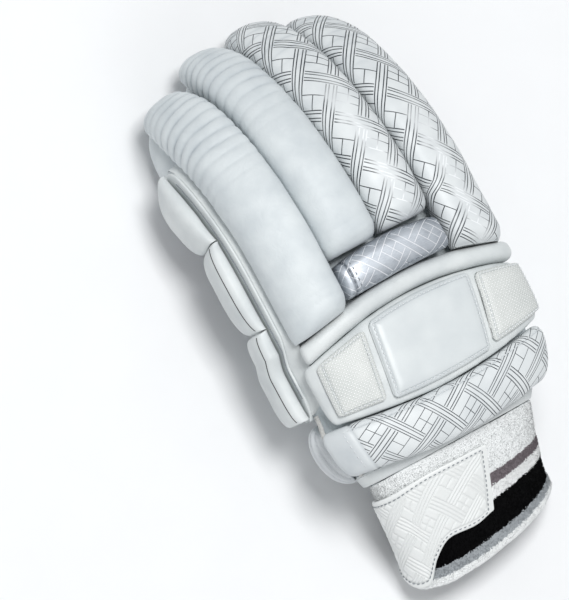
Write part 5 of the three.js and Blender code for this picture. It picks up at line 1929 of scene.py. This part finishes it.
@dataclass
class Thumb(Maker):
    """The thumb: a hollow leather sleeve under the palm, and the two-part pad that it lies on."""

    hand: HandForm
    width: float = 30.0
    height: float = 21.0
    pad_width: float = 47.0
    pad: float = 15.0
    length: float = 118.0
    start: float = -38.0
    split: float = 0.44
    sunk: float = 0.6
    web_top: float = 35.0

    SEED = 43
    WEB_RUN = (0.04, 0.46)
    PIPING_START = 12
    PIPING_TURN = 10
    PIPING_TRIM = 8
    INNER_COLUMN = 70
    OUTER_COLUMN = 10
    LINE = (
        {"along": 0.1, "across": 0.44, "up": 1.32},
        {"along": 0.24, "across": 0.5, "up": 0.72},
        {"along": 0.44, "across": 0.56, "up": 0.5},
        {"along": 0.72, "across": 0.61, "up": 0.5},
        {"along": 0.97, "across": 0.64, "up": 0.5},
    )
    PLAN = (
        {"along": 0.0, "half": 0.72, "middle": 0.5},
        {"along": 0.08, "half": 0.92, "middle": 0.52},
        {"along": 0.4, "half": 1.0, "middle": 0.57},
        {"along": 0.75, "half": 0.98, "middle": 0.61},
        {"along": 0.9, "half": 0.8, "middle": 0.63},
        {"along": 1.0, "half": 0.32, "middle": 0.64},
    )

    def build(self) -> None:
        """Makes the thumb's pieces."""
        self.sleeve()
        past = self.split + HandForm.CLEARANCE / self.length
        self.thumb_pad("thumb_pad_heel", 0.0, self.split, self.finishes.thumb_heel)
        self.thumb_pad("thumb_pad_tip", past, 1.0, self.finishes.thumb_tip)
        self.web()

    def web(self) -> None:
        """The mesh gusset between the heel pad and the thumb: a block that thins out where the two meet."""
        along = np.linspace(*self.WEB_RUN, 60)
        angle = angles(60)
        middle = column(self.LINE, "along", "across", along) * self.hand.WIDTH / 2
        rise = (column(self.LINE, "along", "up", along) - 0.5) * self.height
        top = np.minimum(self.pad + HandForm.CLEARANCE + rise + 1.6, self.web_top)[:, None]
        foot = self.pad - self.sunk
        c, s = squared(angle, 6.0)
        x = middle[:, None] + self.width * (0.4 - 0.06 * (1 - s**2)) * c
        z = (top + foot) / 2 + (top - foot) / 2 * s
        y = (self.start + along * self.length)[:, None] + 0 * x
        skin = Skin(np.stack([x, y, z], axis=-1))
        skin = skin.lifted(0.2 * self.noise.at(skin.points, 6.0))
        self.shop.piece("thumb_mesh_gusset", skin, self.finishes.knit, Slot.KNIT)

    def tube(self, grow: float, lead: float, rows: int, columns: int) -> Array:
        """Grid round the thumb's tube, grown by an offset and started further in by a lead.

        A smooth curve through the table's centres, with superellipse sections square to it.
        """
        top = self.pad + HandForm.CLEARANCE
        places = np.linspace(self.LINE[0]["along"], self.LINE[-1]["along"], rows)
        centre = np.stack(
            [
                column(self.LINE, "along", "across", places) * self.hand.WIDTH / 2,
                self.start + places * self.length,
                top + column(self.LINE, "along", "up", places) * self.height,
            ],
            axis=-1,
        )
        forward = unit(np.gradient(centre, axis=0))
        across = unit(np.stack([forward[:, 1], -forward[:, 0], 0 * forward[:, 0]], axis=-1))
        up = np.cross(across, forward)
        t = np.linspace(0, 1, rows)
        end = rounded(1 - t + 0.006, 0.16)
        taper = 0.86 + 0.14 * (1 - t)
        half = (self.width / 2 * taper + grow) * (0.25 + 0.75 * end)
        deep = (self.height / 2 + grow) * (0.25 + 0.75 * end)
        centre[0] -= forward[0] * lead
        centre[-1] += forward[-1] * grow
        angle = angles(columns)
        c, s = squared(angle, FingerForm.SLEEVE_POWER)
        return (
            centre[:, None]
            + across[:, None] * (half[:, None] * c)[..., None]
            + up[:, None] * (deep[:, None] * s)[..., None]
        )

    def sleeve(self) -> None:
        """The hollow thumb: skins that meet round its open mouth, cut off where they reach the hand."""
        outer = Skin(self.tube(0.0, 0.0, 90, 56))
        outer = outer.lifted(self.noise.layers(outer.points, (0.5, 9.0), (0.25, 4.0)))
        inner = self.tube(-self.hand.LEATHER, 0.0, 40, 56)
        skin = Skin(np.concatenate([outer.points[::-1], inner]))
        piece = self.shop.piece("thumb_sleeve_skin", skin, self.finishes.palm, Slot.PALM, ("thumb_sleeve",))
        grown = self.hand.tube(HandForm.CLEARANCE, HandForm.WRIST_LINE - 30, HandForm.CROTCH_LINE, 40, 72)
        grown[0, :, 1] -= 10
        self.shop.cut(piece, Skin(grown))

    def thumb_pad(self, name: str, low: float, high: float, material: bpy.types.Material) -> None:
        """One of the thumb's two pads: a pillow that bulges down and is flattened by what it lies on.

        Args:
            name: The CAD node's name.
            low: Its start as a share of the thumb's length.
            high: Its end.
            material: Its finish.
        """
        u = eased(100)
        along = low + (high - low) * u
        half = column(self.PLAN, "along", "half", along) * self.pad_width / 2
        middle = column(self.PLAN, "along", "middle", along) * self.hand.WIDTH / 2
        close = rounded(np.minimum(u, 1 - u) + 0.01, 0.16)
        angle = angles(80, LOWEST)
        c, s = squared(angle, 3.4, 3.0)
        side = (0.8 + 0.2 * close)[:, None] * c
        deep = (self.pad + self.sunk) * (0.35 + 0.65 * bar_round(u, 4.0))
        fall = deep[:, None] * (0.5 + 0.5 * s)
        x = middle[:, None] + half[:, None] * side
        y = (self.start + along * self.length)[:, None] + 0 * side
        skin = Skin(np.stack([x, y, self.pad - fall], axis=-1))
        skin = skin.lifted(0.25 * self.noise.at(skin.points, 10.0))
        skin.points[..., 2] = np.clip(skin.points[..., 2], 0.02, self.pad)
        self.shop.piece(name + "_cover", skin, material, Slot.PRINTED, (name,), fill=0.8)
        inner = skin.points[self.PIPING_START :, self.INNER_COLUMN]
        outer = skin.points[: -self.PIPING_TURN : -1, self.OUTER_COLUMN]
        path = np.concatenate([inner, outer]) if high == 1.0 else inner[: -self.PIPING_TRIM]
        cord = tube_skin(path, 0.9, np.broadcast_to([0.0, 0.0, 1.0], path.shape), 10)
        cord.points[..., 2] = np.minimum(cord.points[..., 2], self.pad)
        self.shop.piece(name + "_piping", cord, self.finishes.black, Slot.STRAP)


@dataclass
class HandBody(Maker):
    """The hollow hand: soft palm leather with sewn seams, open at the wrist, the fingers and the thumb."""

    hand: HandForm
    thumb: Thumb
    binding_width: float = 6.5
    slit_length: float = 26.0

    SEED = 53
    HOLE_ROWS = (-4.0, 44.0, 8.0)

    def build(self) -> None:
        """Makes the body and cuts its openings."""
        form = self.hand
        outer = form.tube(0.0, form.WRIST_LINE, form.CROTCH_LINE, 120, 144)
        inner = form.tube(-form.LEATHER, form.WRIST_LINE, form.CROTCH_LINE - form.LEATHER, 40, 144)
        skin = Skin(np.concatenate([outer[::-1], inner]))
        angle = angles(144)
        palm = smooth(0.15, 0.6, -np.sin(angle))[None, :]
        rows = len(outer)
        run = np.linspace(0, 1, rows)[::-1]
        inside = bar_round(run, 6.0)[:, None] * palm
        places = outer[::-1]
        wrinkles = 0.9 * self.noise.at(places * [1.0, 0.45, 1.0], 7.0) + 0.4 * self.noise.at(places, 4.0)
        # Painted shade: the palm's wrinkle hollows are darkened, and the inner skin all over as the shade
        # inside the hand.
        lift = np.zeros(skin.points.shape[:2])
        dark = np.zeros_like(lift)
        lift[:rows] = inside * np.minimum(wrinkles, 0.3)
        dark[:rows] = inside * np.clip(-wrinkles, 0, 1) * 0.5
        dark[rows:] = 0.6
        skin = skin.lifted(lift, dark)
        piece = self.shop.piece("hand_skin", skin, self.finishes.palm, Slot.PALM, ("hand_body",))
        tools = [
            Skin(f.tube(-f.SLEEVE_WALL, f.crotch - 2 * form.LEATHER, 48, 20, f.WRAP)) for f in FINGERS
        ]
        self.shop.cut(piece, *tools, Skin(self.thumb.tube(-form.LEATHER, form.LEATHER, 40, 48)))
        self.binding()
        self.perforations()
        self.slits()

    def palm_point(self, x: Array, y: Array, lift: Array) -> Array:
        """Point under the palm at a distance across the hand: the lower superellipse turned round."""
        s = self.hand.section(y)
        share = np.clip((np.asarray(x, float) - s["centre"]) / s["half"], -0.97, 0.97)
        angle = -np.arccos(np.sign(share) * np.abs(share) ** (self.hand.PALM_POWER / 2))
        return self.hand.point(y, angle, lift)

    def perforations(self) -> None:
        """Vent holes below each finger: small black plugs in staggered rows, sunk into the palm, as painted
        shade inside the holes.
        """
        across = np.array([-6.0, 0.0, 6.0])
        parts = Parts()
        rise = np.array([-0.9, 0.3, 0.36])[:, None]
        size = np.array([0.55, 0.55, 0.3])[:, None]
        turn = angles(8)[None, :]
        for finger in FINGERS[:3]:
            for row, y in enumerate(np.arange(*self.HOLE_ROWS)):
                for x in finger.x + across + 3.0 * (row % 2):
                    wide, far = x + size * np.cos(turn), y + size * np.sin(turn)
                    parts.add_skin(Skin(self.palm_point(wide, far, rise + 0 * turn)))
        self.shop.piece("palm_vent_hole_shade_plugs", parts, self.finishes.black, Slot.PALM)

    def slits(self) -> None:
        """The sewn slits that run back from between the fingers, with a row of stitches on either side."""
        form = self.hand
        y = np.linspace(form.CROTCH_LINE - 1, form.CROTCH_LINE - self.slit_length, 50)
        cords, threads = Parts(), Parts()
        stitch = Stitching(pitch=2.8, length=1.9, radius=0.26)
        down = np.broadcast_to([0.0, 0.0, -1.0], (len(y), 3))
        for place in (-1.0, 0.0, 1.0):
            x = place * form.PITCH + 0.5 * np.sin(y / 4)
            cords.add_skin(tube_skin(self.palm_point(x, y, 0.25), 0.5, down, 8))
            for side in (-1.4, 1.4):
                stitch.row(threads, self.palm_point(x + side, y, 0.3), down)
        self.shop.piece("palm_slit_seams", cords, self.finishes.hem, Slot.PALM)
        self.shop.piece("palm_slit_stitches", threads, self.finishes.thread, Slot.PALM)

    def binding(self) -> None:
        """The folded leather that binds the wrist's edge, with a row of stitches round it."""
        form = self.hand
        y = form.WRIST_LINE + self.binding_width * np.array([0.0, 0.02, 0.12, 0.5, 0.88, 0.98, 1.0])
        lift = np.array([0.0, 0.5, 0.85, 1.0, 0.85, 0.5, 0.0])
        angle = angles(199)
        outer = form.point(y[None, :], angle[:, None], lift[None, :])
        inner = form.point(y[None, ::-1], angle[:, None], -0.3)
        skin = Skin(np.concatenate([outer, inner, outer[:, :1]], axis=1), looped=True)
        self.shop.piece("wrist_binding", skin, self.finishes.white, Slot.PALM)
        parts = Parts()
        row = form.WRIST_LINE + 0.8 * self.binding_width
        path = form.point(row, angle, 0.95)
        out = unit(form.point(row, angle, 3.0) - path)
        Stitching(pitch=2.6, length=1.8, radius=0.26).row(parts, path, out)
        self.shop.piece("wrist_binding_stitches", parts, self.finishes.thread, Slot.PALM)


@dataclass
class Cuff(Maker):
    """The towelling cuff, its dyed bands and loops, and the embossed strap round it."""

    hand: HandForm
    length: float = 44.0
    width: float = 88.0
    height: float = 36.0
    wall: float = 3.0
    drop: float = 35.0
    turn: float = 9.0
    strap: float = 2.2
    power: float = 2.3
    loops: int = 26000

    SEED = 61
    SECTIONS = (
        {"along": 0.0, "half": 1.0, "high": 0.98},
        {"along": 0.45, "half": 0.95, "high": 0.96},
        {"along": 0.85, "half": 0.94, "high": 0.97},
        {"along": 1.0, "half": 0.97, "high": 1.02},
    )
    OUTLINE = (
        {"angle": 82.0, "top": 0.14, "foot": 0.66},
        {"angle": 92.0, "top": 0.13, "foot": 0.68},
        {"angle": 118.0, "top": 0.12, "foot": 0.66},
        {"angle": 135.0, "top": 0.13, "foot": 0.77},
        {"angle": 150.0, "top": 0.14, "foot": 0.95},
        {"angle": 200.0, "top": 0.15, "foot": 0.95},
    )
    SLANT = 7.0
    EDGE = 0.04
    OUTER_ROWS = 90
    INNER_ROWS = 30
    UNDERSIDE = 0.3

    def build(self) -> None:
        """Makes the cuff and its strap."""
        self.towelling()
        self.strap_plate()

    def point(self, share: Array, angle: Array, grow: Array) -> Array:
        """Point on the cuff.

        A superellipse ring that leans down and turns by share of the whole, carried along a straight line.

        Args:
            share: Place along the cuff, from 0 at the wrist to 1.
            angle: Angle round it.
            grow: Offset of the ring.

        Returns:
            Points with a last axis of 3.
        """
        share, angle, grow = np.broadcast_arrays(*(np.asarray(a, float) for a in (share, angle, grow)))
        t = np.clip(share, 0, 1)
        start = self.hand.section(HandForm.WRIST_LINE)
        lean = math.atan2(self.drop, self.length) * t
        turn = math.radians(self.turn) * t
        half = self.width / 2 * column(self.SECTIONS, "along", "half", t) + grow
        high = self.height / 2 * column(self.SECTIONS, "along", "high", t) + grow
        c, s = signed_power(np.cos(angle), self.power), signed_power(np.sin(angle), self.power)
        sideways = share * self.length * math.tan(math.radians(self.turn))
        x = float(start["centre"]) + sideways + np.cos(turn) * half * c
        y = (
            HandForm.WRIST_LINE
            - HandForm.CLEARANCE
            - share * self.length
            + np.sin(turn) * half * c
            - np.sin(lean) * high * s
        )
        z = float(start["level"]) - share * self.drop + np.cos(lean) * high * s
        return np.stack([x, y, z], axis=-1)

    def towelling(self) -> None:
        """The cuff: outer and inner skins joined round both ends, with a thicker hem and a rough pile."""
        angle = angles(240)
        out_share = np.linspace(0, 1, self.OUTER_ROWS)
        in_share = np.linspace(1, 0, self.INNER_ROWS)
        share = np.concatenate([out_share, in_share])[:, None]
        hem = 0.5 * smooth(0.84, 0.88, out_share) * rounded(1.001 - out_share, 0.04)
        outer = hem - 0.5 * (1 - rounded(out_share, 0.03))
        grow = np.concatenate([outer, np.full(self.INNER_ROWS, -self.wall)])[:, None]
        grid = self.point(share, angle[None, :], grow)
        points = np.concatenate([grid, grid[:1]])
        around = angle[None, :] * self.width / math.pi
        along = np.append(share, 0.0)[:, None] * math.hypot(self.length, self.drop)
        uv = np.stack(np.broadcast_arrays(around, along), axis=-1)
        skin = Skin(points, looped=True, uv=uv.astype(float))
        pile = self.noise.layers(skin.points, (0.2, 1.3), (0.3, 8.0))
        # Painted shade darkens the pile's hollows.
        skin = skin.lifted(pile, np.clip(-pile, 0, 1) * 0.15)
        skin.points[..., 2] = np.maximum(skin.points[..., 2], 0.02)
        self.shop.piece("towelling_cuff", skin, self.finishes.towel, Slot.TOWEL, ("cuff",))
        self.pile(skin)

    def pile(self, skin: Skin) -> None:
        """The towelling's loops: small leaning three-sided spikes scattered over the outer skin."""
        draw = np.random.default_rng(7)
        i = draw.uniform(0.5, self.OUTER_ROWS - 3, self.loops)
        j = draw.uniform(0, skin.points.shape[1] - 1.001, self.loops)
        r, c = i.astype(int), j.astype(int)
        fr, fc = (i - r)[:, None], (j - c)[:, None]

        def blend(grid: Array) -> Array:
            """A grid's values at the draws: a bilinear blend of the four corners round each."""
            a = grid[r, c] * (1 - fc) + grid[r, c + 1] * fc
            b = grid[r + 1, c] * (1 - fc) + grid[r + 1, c + 1] * fc
            return a * (1 - fr) + b * fr

        root, out, uv = blend(skin.points), blend(skin.normals()), blend(skin.uv)
        keep = (root[:, 2] > 1.2) & (draw.uniform(0, 1, self.loops) < 0.95)
        root, out, uv = root[keep], out[keep], uv[keep]
        n = len(root)
        side = unit(np.cross(out, draw.normal(0, 1, (n, 3))))
        other = np.cross(out, side)
        lean = side * draw.uniform(-0.5, 0.5, (n, 1)) + other * draw.uniform(-0.5, 0.5, (n, 1))
        height = draw.uniform(0.55, 1.0, (n, 1))
        width = draw.uniform(0.28, 0.42, (n, 1))
        foot = root - 0.25 * out
        base = [foot + width * (side * math.cos(a) + other * math.sin(a)) for a in angles(3)[:-1]]
        tip = root + height * (out + lean)
        vertices = np.stack([*base, tip], axis=1).reshape(-1, 3)
        faces = np.array([[0, 1, 3], [1, 2, 3], [2, 0, 3], [2, 1, 0]])
        every = (np.arange(n)[:, None, None] * 4 + faces[None]).reshape(-1, 3)
        parts = Parts()
        parts.add(vertices, every.tolist(), np.repeat(uv, 12, axis=0), np.zeros(len(vertices)))
        self.shop.piece("towelling_pile", parts, self.finishes.towel, Slot.TOWEL)

    def strap_point(self, u: Array, v: Array, lift: Array) -> Array:
        """Point on the strap at shares u along it and v across it, its free end slanted by SLANT degrees."""
        first, last = self.OUTLINE[0]["angle"], self.OUTLINE[-1]["angle"]
        degrees = first + (last - first) * np.asarray(u)
        top = column(self.OUTLINE, "angle", "top", degrees)
        foot = column(self.OUTLINE, "angle", "foot", degrees)
        turned = degrees + self.SLANT * v * (1 - smooth(0.0, 0.5, u))
        return self.point(top + (foot - top) * v, np.radians(turned), lift)

    def strap_plate(self) -> None:
        """The strap: a thin plate on the cuff, embossed with a lattice and stitched round its border.

        Its section is flat above and below, with half ellipses for its edges.
        """
        half = np.linspace(math.pi / 2, -math.pi / 2, 9)[1:-1]
        rows, columns = 330, 140
        flat = np.linspace(self.EDGE, 1 - self.EDGE, columns)
        under = flat[::-10]
        bend = self.EDGE * np.cos(half)
        v = np.concatenate([flat, 1 - self.EDGE + bend, under, self.EDGE - bend[::-1], flat[:1]])[None, :]
        rise = 0.5 + 0.5 * np.sin(half)
        h = np.concatenate([np.ones(columns), rise, np.zeros(len(under)), rise[::-1], [1.0]])[None, :]
        u = np.linspace(0, 1, rows)[:, None]
        points = self.strap_point(u, v, HandForm.CLEARANCE + self.UNDERSIDE + self.strap * h)
        along = np.linalg.norm(np.diff(points[:, columns // 2], axis=0), axis=-1)
        across = np.linalg.norm(np.diff(points[:, :columns], axis=1), axis=-1).sum(axis=1)[:, None]
        arc = running(along)[:, None]
        uv = np.stack(np.broadcast_arrays(arc, across * v), axis=-1).astype(float)
        skin = Skin(points, uv=uv)
        inset = np.minimum(np.minimum(v, 1 - v) * across, np.minimum(arc, arc[-1] - arc))
        upper = np.where(h > 0.99, 1.0, 0.0)
        inside = smooth(2.6, 3.6, inset) * upper
        lattice = Lattice(pitch=(13.5, 16.5), lean=-50.0, edge=2.6, inner=0.9)
        groove = lattice.groove(uv, 0.45) * inside
        edge = dip(inset - 3.0, 0.5) * upper
        # Painted shade darkens the embossed grooves and the groove along the border.
        skin = skin.lifted(0.3 * inside - 0.45 * groove - 0.3 * edge, 0.1 * groove + 0.2 * edge)
        self.shop.piece("wrist_strap_plate", skin, self.finishes.strap, Slot.STRAP, ("wrist_strap",))
        self.strap_stitches()

    def strap_stitches(self) -> None:
        """Rows of grey stitches along the strap's long edges and its free end."""
        parts = Parts()
        stitch = Stitching(pitch=2.5, length=1.6, radius=0.24)
        lift = HandForm.CLEARANCE + self.UNDERSIDE + self.strap + 0.1
        end, side = 0.022, 0.055
        u = np.linspace(end, 1, 140)
        v = np.linspace(side, 1 - side, 40)
        for along, across in ((u, side), (u, 1 - side), (end, v)):
            path = self.strap_point(along, across, lift)
            stitch.row(parts, path, unit(self.strap_point(along, across, lift + 5.0) - path))
        self.shop.piece("wrist_strap_stitches", parts, self.finishes.grey_thread, Slot.STRAP)


@dataclass
class Studio:
    """A pale table, soft lights and the camera at the photograph's angle.

    tilt is the camera's lean off the vertical towards the little finger, and roll the turn of the hand in
    the picture, both in degrees. aim is in the hand's own millimetres, height what the picture's long side
    spans and reach how far the lights are, in metres.
    """

    shop: Workshop
    tilt: float = 22.0
    roll: float = 28.0
    lens: float = 400.0
    sensor: float = 36.0
    height: float = 276.0
    reach: float = 2.0
    aim: tuple[float, float, float] = (-38.5, 43.6, 40.0)

    def build(self) -> None:
        """Makes the floor, the lights, the world and the camera."""
        self.floor()
        self.lights()
        self.camera()

    def axes(self) -> tuple[Vector, Vector, Vector]:
        """The picture's right and up directions and the direction back to the camera."""
        lean = math.radians(self.tilt)
        turn = math.radians(self.roll)
        across = Vector((math.cos(lean), 0.0, math.sin(lean)))
        along = Vector((0.0, 1.0, 0.0))
        right = across * math.cos(turn) - along * math.sin(turn)
        up = across * math.sin(turn) + along * math.cos(turn)
        return right, up, right.cross(up)

    def target(self) -> Vector:
        """The aim in metres in the frame."""
        return Vector((np.array(self.aim) + self.shop.shift) * MM)

    def camera(self) -> None:
        """A long lens, so that the view is nearly parallel as in the photograph."""
        data = bpy.data.cameras.new("camera")
        data.lens = self.lens
        data.sensor_width = self.sensor
        right, up, back = self.axes()
        distance = self.height * MM * self.lens / self.sensor
        camera = bpy.data.objects.new("camera", data)
        facing = Matrix((right, up, back)).transposed().to_4x4()
        camera.matrix_world = Matrix.Translation(self.target() + back * distance) @ facing
        data.clip_end = 100.0
        bpy.context.collection.objects.link(camera)
        bpy.context.scene.camera = camera

    def floor(self) -> None:
        """A wide pale table top with a faint mottle."""
        mesh = bpy.data.meshes.new("table_top")
        size = 3.0
        corners = [(-size, -size, 0), (size, -size, 0), (size, size, 0), (-size, size, 0)]
        mesh.from_pydata(corners, [], [(0, 1, 2, 3)])
        mesh.materials.append(Plain("matt_white_laminate", "f4f5f6", "f1f2f3", 0.9, 40.0, 0.02).build())
        floor = bpy.data.objects.new("table_top", mesh)
        bpy.context.collection.objects.link(floor)
        floor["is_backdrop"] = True

    def lights(self) -> None:
        """A key just over and right of the camera, a weaker fill from low in the picture and an even sky."""
        right, up, back = self.axes()
        for name, way, size, power in (
            ("key", right * 0.2 + up * 0.35 + back * 1.0, 0.6, 27.0),
            ("fill", right * 0.4 - up * 0.8 + back * 0.8, 1.4, 8.0),
        ):
            data = bpy.data.lights.new(name, "AREA")
            data.shape = "SQUARE"
            data.size = size
            data.energy = power
            light = bpy.data.objects.new(name, data)
            light.location = self.target() + way.normalized() * self.reach
            light.rotation_mode = "QUATERNION"
            light.rotation_quaternion = way.to_track_quat("Z", "Y")
            bpy.context.collection.objects.link(light)
        world = bpy.data.worlds.new("soft_room")
        world.use_nodes = True
        sky = {"Color": linear("f2f5f8"), "Strength": 0.4}
        feed(world.node_tree, world.node_tree.nodes["Background"], sky)
        bpy.context.scene.world = world
        bpy.context.scene.view_settings.view_transform = "Standard"


def corners(box: tuple[Vector, Vector]) -> list[list[float]]:
    """A box's two corners as plain lists."""
    return [[float(v) for v in corner] for corner in box]


def main() -> None:
    """Builds the glove's pieces in order, then the studio round them."""
    logging.basicConfig(level=logging.INFO, format="%(message)s")
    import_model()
    cad_box = corners(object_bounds())
    shop = Workshop()
    finishes = Finishes()
    hand = HandForm()
    thumb = Thumb(shop, finishes, hand)
    HandBody(shop, finishes, hand, thumb).build()
    for form in FINGERS:
        FingerPadding(shop, finishes, form).build()
    BackOfHand(shop, finishes, hand).build()
    SideGuard(shop, finishes, hand).build()
    thumb.build()
    Cuff(shop, finishes, hand).build()
    Studio(shop).build()
    {"cad": cad_box, "visual": corners(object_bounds())}


if __name__ == "__main__":
    main()
